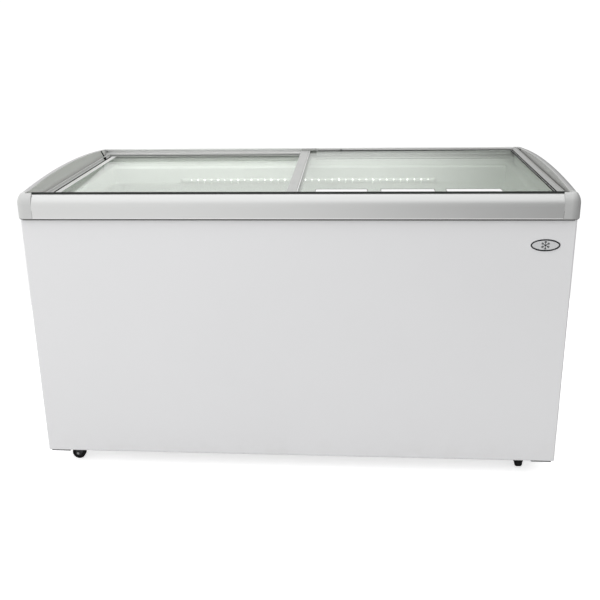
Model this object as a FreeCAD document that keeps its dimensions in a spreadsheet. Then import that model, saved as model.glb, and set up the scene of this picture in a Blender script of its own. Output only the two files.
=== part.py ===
import FreeCAD, Part
import Sketcher
import math
import os

# Chest freezer with two flat sliding glass lids.
# Frame: origin on the floor under the middle of the cabinet, +X along the length,
# +Y to the back (the customer stands on the -Y side), +Z up, millimetres.

V = FreeCAD.Vector
Rot = FreeCAD.Rotation
Place = FreeCAD.Placement
doc = FreeCAD.newDocument("ChestFreezer")
sheet = doc.addObject("Spreadsheet::Sheet", "Dims")

DIMENSIONS = [
    # the whole
    ("rim_x", 750.0), ("rim_y", 370.0), ("body_x", 742.0), ("body_y", 360.0),
    ("body_low", 50.0), ("seam_z", 750.6), ("sheet_t", 1.0), ("corner_r", 5.0),
    ("bottom_r", 4.0), ("flange_x", 600.0), ("flange_y", 250.0),
    # rim
    ("front_top", 816.2), ("cap_top", 822.0), ("rear_top", 866.0), ("crown_z", 868.0),
    ("crown_y", 210.0), ("arch_r", 3250.0), ("side_in", 722.0), ("rail_in", 342.0),
    ("cap_x", 703.0), ("cap_y", 330.0), ("arc_big", 44.0), ("arc_small", 14.0),
    # lids: the sheet of glass lies in a sloping plane
    ("lid_slope", 4.443), ("upper_z", 831.5), ("lower_z", 814.5), ("glass_t", 4.0),
    ("lid_front", 353.5), ("lid_back", 356.5), ("lid_in", 337.5), ("lid_end", 719.0), ("grip_w", 14.0),
    ("stile_w", 28.0), ("upper_left", 20.0), ("lower_right", 14.0),
    # storage well
    ("well_x", 680.0), ("well_y", 298.0), ("well_floor", 118.0), ("step_x", 372.0),
    ("step_z", 398.0), ("liner_t", 1.2), ("well_r", 30.0),
    # machine compartment
    ("comp_x", 430.0), ("comp_z", 330.0), ("cover_y", 340.0),
    # castors
    ("castor_x", 655.0), ("castor_y", 310.0), ("wheel_r", 19.5), ("wheel_w", 18.0),
    ("trail", 13.0), ("pin_r", 4.0), ("axle_r", 3.0), ("running", 0.06),
    ("plate_w", 48.0), ("bolt_gap", 34.0), ("bolt_r", 3.0),
    # evaporator and pipes
    ("coil_d", 8.0), ("coil_pitch", 55.0),
    # machine compartment contents
    ("fan_x", 585.0), ("fan_y", 175.0), ("fan_z", 178.0), ("fan_r", 84.0),
    ("comp_cx", 585.0), ("comp_cy", -60.0),
    # badge
    ("badge_x", 665.0), ("badge_z", 683.0), ("badge_w", 77.0), ("badge_h", 33.0),
    # light bar
    ("led_z", 761.0), ("led_half", 440.0),
]


class Q:
    """A length: its number and the spreadsheet formula that gives it."""

    def __init__(self, v, t):
        self.v = v
        self.t = t

    def __add__(self, o):
        o = q(o)
        return Q(self.v + o.v, "(" + self.t + " + " + o.t + ")")

    def __radd__(self, o):
        return q(o) + self

    def __sub__(self, o):
        o = q(o)
        return Q(self.v - o.v, "(" + self.t + " - " + o.t + ")")

    def __rsub__(self, o):
        return q(o) - self

    def __mul__(self, o):
        o = q(o)
        return Q(self.v * o.v, "(" + self.t + " * " + o.t + ")")

    def __rmul__(self, o):
        return q(o) * self

    def __truediv__(self, o):
        o = q(o)
        return Q(self.v / o.v, "(" + self.t + " / " + o.t + ")")

    def __neg__(self):
        return Q(-self.v, "(-1 * " + self.t + ")")


def q(x):
    if isinstance(x, Q):
        return x
    return Q(float(x), "(" + repr(float(x)) + ")")


class Sizes:
    pass


D = Sizes()
for row, (alias, value) in enumerate(DIMENSIONS, start=1):
    sheet.set("A%d" % row, alias)
    sheet.set("B%d" % row, str(value))
    sheet.setAlias("B%d" % row, alias)
    setattr(D, alias, Q(value, "Dims." + alias))
doc.recompute()

PARTS = []
ROLE = {"XY": "XY_Plane", "XZ": "XZ_Plane", "YZ": "YZ_Plane"}


def keep(obj, label):
    obj.Label = label
    PARTS.append((label, obj))
    return obj


def new_body(label, kept=True):
    b = doc.addObject("PartDesign::Body", label)
    if hasattr(b, "AllowCompound"):
        b.AllowCompound = True
    if kept:
        keep(b, label)
    return b


def origin_item(b, role):
    return [o for o in b.Origin.OriginFeatures if o.Role == role][0]


def sketch(b, plane, loops, at, tilt=None):
    """Closed loops on one of the body's planes, moved along that plane's axis to at.
    A loop is a list of points (a, b) or (a, b, centre_a, centre_b, radius, turn), where the
    extra values make the run to the next point an arc: turn is 1 anticlockwise, -1 clockwise.
    A loop of ("circle", a, b, radius) is a circle."""
    sk = b.newObject("Sketcher::SketchObject", b.Name + "_sketch")
    sk.AttachmentSupport = [(origin_item(b, ROLE[plane]), "")]
    sk.MapMode = "FlatFace"
    off = q(at)
    if plane == "XZ":
        off = -off
    sk.AttachmentOffset = Place(V(0, 0, off.v), tilt if tilt else Rot())
    sk.setExpression("AttachmentOffset.Base.z", off.t)
    n = 0

    def fix(geo, pos, a, c):
        for kind, value in (("DistanceX", a), ("DistanceY", c)):
            if abs(value.v) < 1e-9:
                sk.addConstraint(Sketcher.Constraint(
                    "PointOnObject", geo, pos, -2 if kind == "DistanceX" else -1))
                continue
            k = sk.addConstraint(Sketcher.Constraint(kind, -1, 1, geo, pos, value.v))
            sk.setExpression("Constraints[%d]" % k, value.t)

    for loop in loops:
        if loop[0] == "circle":
            a, c, r = q(loop[1]), q(loop[2]), q(loop[3])
            sk.addGeometry(Part.Circle(V(a.v, c.v, 0), V(0, 0, 1), r.v), False)
            fix(n, 3, a, c)
            k = sk.addConstraint(Sketcher.Constraint("Radius", n, r.v))
            sk.setExpression("Constraints[%d]" % k, r.t)
            n += 1
            continue
        pts = [[q(x) for x in p] for p in loop]
        first = n
        starts, ends = [], []
        for i, p in enumerate(pts):
            nxt = pts[(i + 1) % len(pts)]
            if len(p) == 2:
                sk.addGeometry(Part.LineSegment(V(p[0].v, p[1].v, 0), V(nxt[0].v, nxt[1].v, 0)), False)
                starts.append(1)
                ends.append(2)
            else:
                cx, cy, r, turn = p[2].v, p[3].v, p[4].v, p[5].v
                a0 = math.atan2(p[1].v - cy, p[0].v - cx)
                a1 = math.atan2(nxt[1].v - cy, nxt[0].v - cx)
                if turn < 0:
                    a0, a1 = a1, a0
                if a1 < a0:
                    a1 += 2 * math.pi
                sk.addGeometry(Part.ArcOfCircle(Part.Circle(V(cx, cy, 0), V(0, 0, 1), r), a0, a1), False)
                starts.append(1 if turn > 0 else 2)
                ends.append(2 if turn > 0 else 1)
            n += 1
        for i, p in enumerate(pts):
            j = (i + 1) % len(pts)
            sk.addConstraint(Sketcher.Constraint(
                "Coincident", first + i, ends[i], first + j, starts[j]))
        for i, p in enumerate(pts):
            fix(first + i, starts[i], p[0], p[1])
            if len(p) > 2:
                k = sk.addConstraint(Sketcher.Constraint("Radius", first + i, p[4].v))
                sk.setExpression("Constraints[%d]" % k, p[4].t)
    return sk


def pad(b, plane, loops, low, high, tilt=None):
    low, high = q(low), q(high)
    sk = sketch(b, plane, loops, high if plane == "XZ" else low, tilt)
    f = b.newObject("PartDesign::Pad", b.Name + "_pad")
    f.Profile = sk
    f.Length = high.v - low.v
    f.setExpression("Length", (high - low).t)
    sk.Visibility = False
    return f


def pocket(b, plane, loops, low, high):
    """Removes the loops between low and high along the plane's own world axis."""
    low, high = q(low), q(high)
    doc.recompute()
    before = b.Shape.Volume
    sk = sketch(b, plane, loops, low if plane == "XZ" else high)
    f = b.newObject("PartDesign::Pocket", b.Name + "_pocket")
    f.Profile = sk
    f.Length = high.v - low.v
    f.setExpression("Length", (high - low).t)
    doc.recompute()
    if not b.Shape.Volume < before - 1e-6:
        raise RuntimeError(b.Label + ": a pocket removed nothing")
    return f


def revolve(b, plane, loops, angle=360.0, axis="V_Axis", at=0.0):
    sk = sketch(b, plane, loops, at)
    f = b.newObject("PartDesign::Revolution", b.Name + "_turn")
    f.Profile = sk
    f.ReferenceAxis = (sk, [axis])
    f.Angle = angle
    return f


def edges_where(shape, test):
    names = []
    for i, e in enumerate(shape.Edges, start=1):
        if test(e):
            names.append("Edge%d" % i)
    return names


def round_edges(b, test, radius, kind="PartDesign::Fillet"):
    doc.recompute()
    base = b.Tip
    names = edges_where(b.Shape.copy(), test)
    if not names:
        raise RuntimeError(b.Label + ": no edge to round")
    f = b.newObject(kind, b.Name + "_edge")
    f.Base = (base, names)
    r = q(radius)
    if kind == "PartDesign::Fillet":
        f.Radius = r.v
        f.setExpression("Radius", r.t)
    else:
        f.Size = r.v
        f.setExpression("Size", r.t)
    doc.recompute()
    return f


def put(obj, x=0.0, y=0.0, z=0.0, rot=None, rigid=None):
    """Places an object; the position stays bound to the sheet."""
    x, y, z = q(x), q(y), q(z)
    obj.Placement = Place(V(x.v, y.v, z.v), rot if rot else Rot())
    for name, value in (("x", x), ("y", y), ("z", z)):
        obj.setExpression("Placement.Base." + name, value.t)
    return obj


def box_loop(x0, x1, y0, y1):
    return [(x0, y0), (x1, y0), (x1, y1), (x0, y1)]


def bar(label, x0, x1, y0, y1, z0, z1, kept=True):
    b = new_body(label, kept)
    pad(b, "XY", [box_loop(x0, x1, y0, y1)], z0, z1)
    return b


def cylinder_row(label, items, kept=True):
    """Several equal or unequal upright cylinders as one object: (x, y, z, r, height)."""
    made = []
    for i, (x, y, z, r, height) in enumerate(items):
        c = doc.addObject("Part::Cylinder", "%s_%d" % (label, i))
        c.setExpression("Radius", q(r).t)
        c.setExpression("Height", q(height).t)
        put(c, x, y, z)
        made.append(c)
    m = doc.addObject("Part::Compound", label)
    m.Links = made
    if kept:
        keep(m, label)
    return m


def is_vertical(e):
    t = e.tangentAt(e.FirstParameter)
    return type(e.Curve).__name__ == "Line" and abs(abs(t.z) - 1) < 1e-6


def mid(e):
    return e.valueAt((e.FirstParameter + e.LastParameter) / 2)


def rounded_rect(x, y, r, back_r=0.01):
    """Plan of a box with rounded front corners and square rear corners."""
    x, y, r = q(x), q(y), q(r)
    return [
        (-x, -y + r, -x + r, -y + r, r, 1), (-x + r, -y), (x - r, -y, x - r, -y + r, r, 1),
        (x, -y + r), (x, y), (-x, y),
    ]


def tube(label, points, diameter, bend, kept=True, inner=0.0):
    """A round tube along straight runs joined by tangent arcs."""
    pts = [V(*p) for p in points]
    edges = []
    here = pts[0]
    length = 0.0
    for i in range(1, len(pts) - 1):
        a = (pts[i - 1] - pts[i]).normalize()
        c = (pts[i + 1] - pts[i]).normalize()
        turn = math.pi - a.getAngle(c)
        cut = bend * math.tan(turn / 2)
        p0, p1 = pts[i] + a * cut, pts[i] + c * cut
        bis = (a + c).normalize()
        centre = pts[i] + bis * (bend / math.cos(turn / 2))
        m = centre + (pts[i] - centre).normalize() * bend
        edges.append(Part.LineSegment(here, p0).toShape())
        edges.append(Part.Arc(p0, m, p1).toShape())
        length += (p0 - here).Length + bend * turn
        here = p1
    edges.append(Part.LineSegment(here, pts[-1]).toShape())
    length += (pts[-1] - here).Length
    wire = Part.Wire(edges)
    direction = (pts[1] - pts[0]).normalize()

    def sweep(d):
        ring = Part.Wire([Part.Circle(pts[0], direction, d / 2).toShape()])
        return wire.makePipeShell([ring], True, False)

    solid = sweep(diameter)
    if inner > 0:
        solid = solid.cut(sweep(inner))
    area = math.pi * (diameter ** 2 - inner ** 2) / 4
    if abs(solid.Volume - area * length) > 0.02 * area * length:
        raise RuntimeError(label + ": tube volume is off")
    f = doc.addObject("Part::Feature", label)
    f.Shape = solid
    if kept:
        keep(f, label)
    return f


# ---------------------------------------------------------------- cabinet shell
# Outer wrap: front and both sides folded from one sheet, with a bottom return flange.
def plan_points(x, y, r):
    return rounded_rect(x, y, r)


wrap = new_body("outer_wrap")
pad(wrap, "XY", [plan_points(D.body_x, D.body_y, D.corner_r)], D.body_low, D.seam_z - 0.3)
round_edges(
    wrap,
    lambda e: abs(mid(e).z - 50) < 1e-6 and not (type(e.Curve).__name__ == "Line" and abs(mid(e).y - 360) < 1),
    D.bottom_r,
)
inner = new_body("wrap_inside", kept=False)
pad(inner, "XY", [plan_points(D.body_x - D.sheet_t, D.body_y - D.sheet_t, D.corner_r - D.sheet_t)],
    D.body_low + D.sheet_t, D.seam_z + 10)
round_edges(
    inner,
    lambda e: abs(mid(e).z - 51) < 1e-6 and not (type(e.Curve).__name__ == "Line" and abs(mid(e).y - 359) < 1),
    D.bottom_r - D.sheet_t,
)
PARTS.pop(0)
back_cut = new_body("wrap_back_cut", kept=False)
pad(back_cut, "XY", [box_loop(-D.body_x + D.sheet_t, D.body_x - D.sheet_t, D.body_y - 2, D.body_y + 5)],
    D.body_low + D.sheet_t, D.seam_z + 10)
floor_cut = new_body("wrap_floor_cut", kept=False)
pad(floor_cut, "XY", [box_loop(-D.flange_x, D.flange_x, -D.flange_y, D.flange_y)], D.body_low - 5, D.body_low + 5)
# vent louvres: three columns of slots in the right side, low down beside the compressor
slots = new_body("wrap_slots", kept=False)
pad(slots, "YZ", [box_loop(-145 + 100 * c, -65 + 100 * c, 96 + 16 * r, 101 + 16 * r)
                  for c in range(3) for r in range(12)], D.body_x - 5, D.body_x + 5)


def plate_spots(gap):
    spots = []
    for sx in (-1, 1):
        for sy in (-1, 1):
            for i in (-0.5, 0.5):
                for j in (-0.5, 0.5):
                    spots.append((D.castor_x * sx + gap * i, D.castor_y * sy + gap * j))
    return spots


bolt_cut = new_body("bolt_cut", kept=False)
pad(bolt_cut, "XY", [("circle", x, y, D.bolt_r + 0.3) for x, y in plate_spots(D.bolt_gap)],
    D.body_low - 6, D.body_low + 6)
drain_x, drain_y = -560.0, -190.0
drain_cut = new_body("drain_cut", kept=False)
pad(drain_cut, "XY", [("circle", drain_x, drain_y, 11.0)], 40.0, 116.0)


def cut_with(base, tools, label, kept=True):
    out = base
    for i, t in enumerate(tools):
        c = doc.addObject("Part::Cut", "%s_c%d" % (label, i) if i < len(tools) - 1 else label)
        c.Base = out
        c.Tool = t
        out = c
    if kept:
        keep(out, label)
    return out


wrap.Label = "wrap_blank"
cut_with(wrap, [inner, back_cut, floor_cut, slots, bolt_cut], "outer_wrap")

# Back panel: flat sheet, open over the machine compartment
back = new_body("back_panel")
pad(back, "XZ", [[
    (-D.body_x + D.sheet_t + 0.2, D.body_low + D.sheet_t + 0.2),
    (D.comp_x - 0.5, D.body_low + D.sheet_t + 0.2),
    (D.comp_x - 0.5, D.comp_z),
    (D.body_x - D.sheet_t - 0.2, D.comp_z),
    (D.body_x - D.sheet_t - 0.2, D.seam_z - 0.3),
    (-D.body_x + D.sheet_t + 0.2, D.seam_z - 0.3),
]], D.body_y - D.sheet_t, D.body_y)

# Base pan: flat steel floor carried by the wrap's return flange
pan_blank = new_body("pan_blank", kept=False)
pad(pan_blank, "XY", [rounded_rect(D.body_x - D.sheet_t - 9.2, D.body_y - D.sheet_t - 9.2, 16)],
    D.body_low + D.sheet_t, D.body_low + D.sheet_t + 1.5)
cut_with(pan_blank, [bolt_cut, drain_cut], "base_pan")

# Machine-compartment bulkhead: folded sheet between the foam and the compartment
bulk = new_body("bulkhead_panel")
pad(bulk, "XZ", [[
    (D.comp_x - 1, 53.0), (D.comp_x, 53.0), (D.comp_x, D.comp_z), (D.body_x - D.sheet_t - 0.2, D.comp_z),
    (D.body_x - D.sheet_t - 0.2, D.comp_z + 1), (D.comp_x - 1, D.comp_z + 1),
]], -D.body_y + D.sheet_t + 26, D.body_y - D.sheet_t - 0.3)


# Storage well: the same stepped form makes the liner's inside and its outside
def well(label, grow, top):
    b = new_body(label, kept=False)
    g = q(grow)
    pad(b, "XZ", [[
        (-D.well_x - g, D.well_floor - g), (D.step_x + g, D.well_floor - g),
        (D.step_x + g, D.step_z - g), (D.well_x + g, D.step_z - g),
        (D.well_x + g, top), (-D.well_x - g, top),
    ]], -D.well_y - g, D.well_y + g)
    round_edges(b, lambda e: is_vertical(e) and abs(abs(mid(e).y) - D.well_y.v - g.v) < 1e-6
                and (abs(mid(e).x) > 600), D.well_r + g)
    round_edges(
        b,
        lambda e: (abs(mid(e).z - (D.well_floor.v - g.v)) < 1e-6) and abs(mid(e).x - D.step_x.v - g.v) > 5,
        q(12) + g,
    )
    return b


well_in = well("well_inside", 0.0, D.seam_z + 20)
well_out = well("well_outside", D.liner_t, D.seam_z - 0.3)
well_out2 = well("well_foam", D.liner_t, D.seam_z + 20)
cut_with(well_out, [well_in, drain_cut], "liner_blank", kept=False)
liner_drain = new_body("liner_drain_cut", kept=False)
pad(liner_drain, "XY", [("circle", drain_x, drain_y, 11.0)], 110.0, 125.0)
cut_with(doc.getObject("liner_blank"), [liner_drain], "inner_liner")

foam_blank = new_body("foam_blank", kept=False)
pad(foam_blank, "XY", [rounded_rect(D.body_x - D.sheet_t - 0.2, D.body_y - D.sheet_t - 0.2, D.corner_r - D.sheet_t)],
    D.body_low + 13.0, D.seam_z - 0.3)
pad(foam_blank, "XY", [rounded_rect(D.body_x - D.sheet_t - 10, D.body_y - D.sheet_t - 10, 15)],
    D.body_low + 3.0, D.body_low + 13.0)
comp_cut = new_body("comp_cut", kept=False)
pad(comp_cut, "XZ", [box_loop(D.comp_x - 1.2, D.body_x + 10, D.body_low - 10, D.comp_z + 1.2)],
    -D.body_y - 10, D.body_y + 10)
foam_drain = new_body("foam_drain_cut", kept=False)
pad(foam_drain, "XY", [("circle", drain_x, drain_y, 10.3)], 45.0, 125.0)
cut_with(foam_blank, [comp_cut, well_out2, foam_drain], "insulation_foam")

# Evaporator: one tube wound round the liner inside the foam
coil_pts = []
ex, ey = D.well_x.v + D.liner_t.v + 5.2, D.well_y.v + D.liner_t.v + 5.2
level = 450.0
step = D.coil_pitch.v
coil_pts.append((ex, -60.0, level))
for turn_no in range(5):
    z = level + turn_no * step
    coil_pts += [(ex, ey, z), (-ex, ey, z), (-ex, -ey, z), (ex, -ey, z)]
    coil_pts += [(ex, -ey + 120.0, z), (ex, -ey + 190.0, z + step)]
coil_pts = coil_pts[:-2] + [(ex, -80.0, level + 4 * step)]
tube("evaporator_coil", coil_pts, D.coil_d.v, 22.0)

# ---------------------------------------------------------------- rim
def outer_curve(a0, z_top, sign=1):
    """Upper outer corner of the rails: vertical face, large arc, small arc, flat top.
    a0 is the outer face; the curve is walked from the top flat down to the face."""
    a0, z_top = q(a0), q(z_top)
    s = sign
    return [
        (a0 + 20 * s, z_top, a0 + 20 * s, z_top - 14, D.arc_small, 1 * s),
        (a0 + 8.8 * s, z_top - 5.6, a0 + 44 * s, z_top - 32, D.arc_big, 1 * s),
        (a0, z_top - 32),
    ]


# front rail: top lip, upper track, lower track, hollow foot
front = new_body("front_rail")
y0 = -D.rim_y
yi = -D.rail_in
profile_front = outer_curve(y0, D.front_top) + [
    (y0, D.seam_z + 2.5), (y0 + 2, D.seam_z), (yi, D.seam_z), (yi, 780.0),
    (y0 + 16, 780.0), (y0 + 16, 791.2), (yi, 791.2), (yi, 797.0), (y0 + 16, 797.0), (y0 + 16, 808.4),
    (yi, 808.4), (yi, D.front_top - 1), (yi - 1, D.front_top),
]
hollow_front = [(y0 + 2, 754.5), (yi - 2.5, 754.5), (yi - 2.5, 777.5), (y0 + 13.5, 777.5),
                (y0 + 13.5, 804.2), (y0 + 5, 801.2), (y0 + 2, 783.2)]
pad(front, "YZ", [profile_front, hollow_front], -D.side_in + 0.4, D.side_in - 0.4)
for s in (-1, 1):
    a, c = (D.cap_x, D.side_in + 2) if s > 0 else (-D.side_in - 2, -D.cap_x)
    pocket(front, "YZ", [box_loop(y0 - 2, y0 + 14.6, D.seam_z - 2, D.front_top + 2)], a, c)

# rear rail: higher, same build
rear = new_body("rear_rail")
y1 = D.rim_y
yj = D.rail_in
z = D.rear_top
profile_rear = [
    (y1, z - 32, y1 - 44, z - 32, D.arc_big, 1),
    (y1 - 8.8, z - 5.6, y1 - 20, z - 14, D.arc_small, 1),
    (y1 - 20, z), (y1 - 20, 861.9), (y1 - 11, 861.9), (y1 - 11, 850.8), (yj, 850.8),
    (yj, 844.9), (y1 - 11, 844.9), (y1 - 11, 833.8), (yj, 833.8), (yj, 829.0), (yj + 3, 829.0),
    (yj + 3, D.seam_z), (y1 - 2, D.seam_z), (y1, D.seam_z + 2.5),
]
hollow_rear = [(yj + 6, 754.5), (y1 - 2.5, 754.5), (y1 - 2.5, 826.0), (yj + 6, 826.0)]
pad(rear, "YZ", [profile_rear, hollow_rear], -D.side_in + 0.4, D.side_in - 0.4)
for s in (-1, 1):
    a, c = (D.cap_x, D.side_in + 2) if s > 0 else (-D.side_in - 2, -D.cap_x)
    pocket(rear, "YZ", [box_loop(y1 - 9.6, y1 + 2, D.seam_z - 2, z + 2)], a, c)


# side rails: upright end pieces whose top edge is one long arch
def side_rail(label, s):
    b = new_body(label)
    xa, xb = D.side_in * s, D.rim_x * s
    axis_z = D.crown_z - D.arch_r
    r_wall = D.arch_r - 33
    yc = D.crown_y
    ya, yb = -D.cap_y, D.cap_y

    def wall_z(y):
        dy = y.v - yc.v
        return q(axis_z.v + math.sqrt(r_wall.v ** 2 - dy ** 2))

    pad(b, "YZ", [[
        (ya, D.seam_z), (yb, D.seam_z),
        (yb, wall_z(yb), yc, axis_z, r_wall, 1), (ya, wall_z(ya)),
    ]], xa if s > 0 else xb, xb if s > 0 else xa)
    t = D.crown_z
    # the arched crown, turned about the arch's own centre line
    sk_pts = [
        (xb, t - 32, xb - 44 * s, t - 32, D.arc_big, 1 * s),
        (xb - 8.8 * s, t - 5.6, xb - 20 * s, t - 14, D.arc_small, 1 * s),
        (xb - 20 * s, t), (xa + 1.5 * s, t), (xa, t - 1.5), (xa, t - 36), (xb, t - 36),
    ]
    sk = sketch(b, "XZ", [sk_pts], yc)
    k = sk.addGeometry(Part.LineSegment(V(-50, axis_z.v, 0), V(50, axis_z.v, 0)), True)
    sk.addConstraint(Sketcher.Constraint("Horizontal", k))
    c = sk.addConstraint(Sketcher.Constraint("DistanceY", -1, 1, k, 1, axis_z.v))
    sk.setExpression("Constraints[%d]" % c, axis_z.t)
    sk.addConstraint(Sketcher.Constraint("DistanceX", -1, 1, k, 1, -50.0))
    sk.addConstraint(Sketcher.Constraint("DistanceX", -1, 1, k, 2, 50.0))
    f = b.newObject("PartDesign::Revolution", label + "_arch")
    f.Profile = sk
    f.ReferenceAxis = (sk, ["Axis0"])
    f.Type = "TwoAngles"
    f.Angle = 10.5
    f.Angle2 = 10.5
    doc.recompute()
    pocket(b, "YZ", [box_loop(ya - 120, ya, 600.0, 900.0)], -D.rim_x - 10, D.rim_x + 10)
    pocket(b, "YZ", [box_loop(yb, yb + 500, 600.0, 900.0)], -D.rim_x - 10, D.rim_x + 10)
    pocket(b, "XZ", [[(xb - 2 * s, D.seam_z), (xb - 2 * s, D.seam_z - 3), (xb + 2 * s, D.seam_z - 3),
                      (xb + 2 * s, D.seam_z + 2.5), (xb, D.seam_z + 2.5)]], ya - 5, yb + 5)
    return b


side_rail("side_rail_left", -1)
side_rail("side_rail_right", 1)


# corner caps: a turned quarter with a short run beside each rail
def cap_quarter(label, sx, sy, top):
    """sx, sy pick the corner. Built in place about the upright line (0, 0) and then moved."""
    b = new_body(label)
    top = q(top)
    zl = D.seam_z
    ro = D.rim_x - D.side_in
    gap = D.rail_in - D.cap_y
    run = D.side_in - D.cap_x
    deep = 14.4 if sy < 0 else 9.4

    def sec(s, inner_at):
        # walked from the face up over the top and down the inner side
        pts = [(ro * s, top - 32, (ro - 44) * s, top - 32, D.arc_big, 1 * s)]
        if inner_at < 8:
            pts += [((ro - 8.8) * s, top - 5.6, (ro - 20) * s, top - 14, D.arc_small, 1 * s),
                    ((ro - 20) * s, top), (q(inner_at) * s, top)]
        else:
            a = inner_at - (28.0 - 20.0)
            pts += [((ro - 8.8) * s, top - 5.6, (ro - 20) * s, top - 14, D.arc_small, 1 * s),
                    ((ro - 28 + inner_at) * s, top - 14 + math.sqrt(14.0 ** 2 - a ** 2))]
        return pts + [((ro - 28 + inner_at) * s if inner_at >= 8 else q(inner_at) * s, zl),
                      ((ro - 2) * s, zl), (ro * s, zl + 2.5)]

    # side run: section in XZ, from the quarter to the side rail
    ya, yb = (-gap + 0.15, q(0.0)) if sy > 0 else (q(0.0), gap - 0.15)
    pad(b, "XZ", [sec(sx, 0.0)], ya, yb)
    # rail run: section in YZ
    xa, xb = (-run + 0.15, q(0.0)) if sx > 0 else (q(0.0), run - 0.15)
    pad(b, "YZ", [sec(sy, 28.0 - deep)], xa, xb)
    # quarter
    sk = sketch(b, "XZ", [sec(sx, 0.0)], 0.0)
    f = b.newObject("PartDesign::Revolution", label + "_quarter")
    f.Profile = sk
    f.ReferenceAxis = (sk, ["V_Axis"])
    f.Angle = 90.0
    f.Reversed = sx * sy < 0
    put(b, D.side_in * sx, D.rail_in * sy, 0.0)
    return b


cap_quarter("corner_cap_front_left", -1, -1, D.cap_top)
cap_quarter("corner_cap_front_right", 1, -1, D.cap_top)
cap_quarter("corner_cap_rear_left", -1, 1, D.rear_top)
cap_quarter("corner_cap_rear_right", 1, 1, D.rear_top)

# black seal strip standing behind the front rail's lip, and its twin under the rear lip
fs = new_body("front_seal")
pad(fs, "YZ", [[(yi, 809.6), (yi + 2.5, 809.6), (yi + 2.5, 820.4), (yi + 1.6, 821.2), (yi - 2.5, 821.2),
                (yi - 2.5, D.front_top), (yi - 1, D.front_top), (yi, D.front_top - 1)]],
    -D.cap_x - 5, D.cap_x + 5)
rs = new_body("rear_seal")
pad(rs, "YZ", [box_loop(yj - 1.6, yj, 845.6, 850.2)], -D.cap_x - 5, D.cap_x + 5)

# white inner collar between the liner and the rails: four thin walls on one ring
collar = new_body("top_collar")
zc = D.seam_z
hx, hy, hr = D.well_x + D.liner_t, D.well_y + D.liner_t, D.well_r + D.liner_t
pad(collar, "XY", [box_loop(-716.0, 716.0, yi + 0.4, yj - 0.4 + 3), [
    (-hx, -hy + hr, -hx + hr, -hy + hr, hr, 1), (-hx + hr, -hy), (hx - hr, -hy, hx - hr, -hy + hr, hr, 1), (hx, -hy + hr),
    (hx, hy - hr, hx - hr, hy - hr, hr, 1), (hx - hr, hy), (-hx + hr, hy, -hx + hr, hy - hr, hr, 1), (-hx, hy - hr),
]], zc, zc + 3)
pad(collar, "YZ", [[(299.2, zc), (302.2, zc), (302.2, 800.0), (yj + 2.6, 803.0), (yj + 2.6, 828.6), (yj - 0.4, 828.6),
                    (yj - 0.4, 806.0), (299.2, 803.0)]], -716.0, 716.0)
pad(collar, "YZ", [[(yi + 0.4, zc), (yi + 3.4, zc), (yi + 3.4, 765.0), (-302.2, 765.0), (-302.2, zc), (-299.2, zc),
                    (-299.2, 768.0), (yi + 3.4, 768.0), (yi + 3.4, 778.0), (yi + 0.4, 778.0)]], -716.0, 716.0)
slope = math.tan(math.radians(D.lid_slope.v))


def side_wall(x0, x1, drop, plane_z, inner=None):
    """Upright wall whose top runs parallel to the lids, drop below their upper face."""
    def top(y):
        return q(plane_z) + q(y) * slope - drop
    pad(collar, "YZ", [[(-338.0, zc), (340.0, zc), (340.0, top(340.0)), (-338.0, top(-338.0))]], x0, x1)


side_wall(-716.0, -713.0, 10.0, D.lower_z)
side_wall(713.0, 716.0, 10.0, D.upper_z)
side_wall(-684.2, -681.2, 27.0, D.lower_z)
side_wall(681.2, 684.2, 27.0, D.lower_z)
for s in (-1, 1):
    a, c = (-713.5, -681.2) if s < 0 else (681.2, 713.5)
    pad(collar, "YZ", [[(-338.0, D.lower_z - 338.0 * slope - 27 - 3), (340.0, D.lower_z + 340.0 * slope - 27 - 3),
                        (340.0, D.lower_z + 340.0 * slope - 27), (-338.0, D.lower_z - 338.0 * slope - 27)]], a, c)

# light bar on the collar's rear wall
led = new_body("led_light_bar")
pad(led, "YZ", [[(299.2, D.led_z - 6), (299.2, D.led_z + 6), (296.5, D.led_z + 6), (291.0, D.led_z + 2), (291.0, D.led_z - 3),
                 (294.0, D.led_z - 6)]], -D.led_half, D.led_half)

# oval name plate, blank
badge = new_body("badge_plate")
plate = doc.addObject("Part::Ellipse", "badge_outline")
plate.MajorRadius = 38.5
plate.MinorRadius = 16.5
plate.setExpression("MajorRadius", "Dims.badge_w / 2")
plate.setExpression("MinorRadius", "Dims.badge_h / 2")
PARTS.pop()
doc.removeObject(badge.Name)
face = doc.addObject("Part::Extrusion", "badge_plate")
face.Base = plate
face.Dir = V(0, 0, 1)
face.DirMode = "Custom"
face.LengthFwd = 1.6
face.Solid = True
put(face, D.badge_x, -D.body_y, D.badge_z, Rot(V(1, 0, 0), 90))
keep(face, "badge_plate")


# ---------------------------------------------------------------- sliding lids
lid_rot = Rot(V(1, 0, 0), D.lid_slope.v)


def lid_piece(b, z):
    put(b, 0.0, 0.0, z, lid_rot)
    b.setExpression("Placement.Rotation.Angle", "Dims.lid_slope")


def runner(label, x0, x1, front_side, z):
    b = new_body(label)
    if front_side:
        a, c, s = -D.lid_front, -D.lid_in, 1
    else:
        a, c, s = D.lid_back, D.lid_in, -1
    pad(b, "YZ", [[(a, -6.0), (c, -6.0), (c, -4.1), (a + 3.9 * s, -4.1), (a + 3.9 * s, 0.1), (c, 0.1), (c, 2.0), (a, 2.0)]],
        x0, x1)
    lid_piece(b, z)


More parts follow.
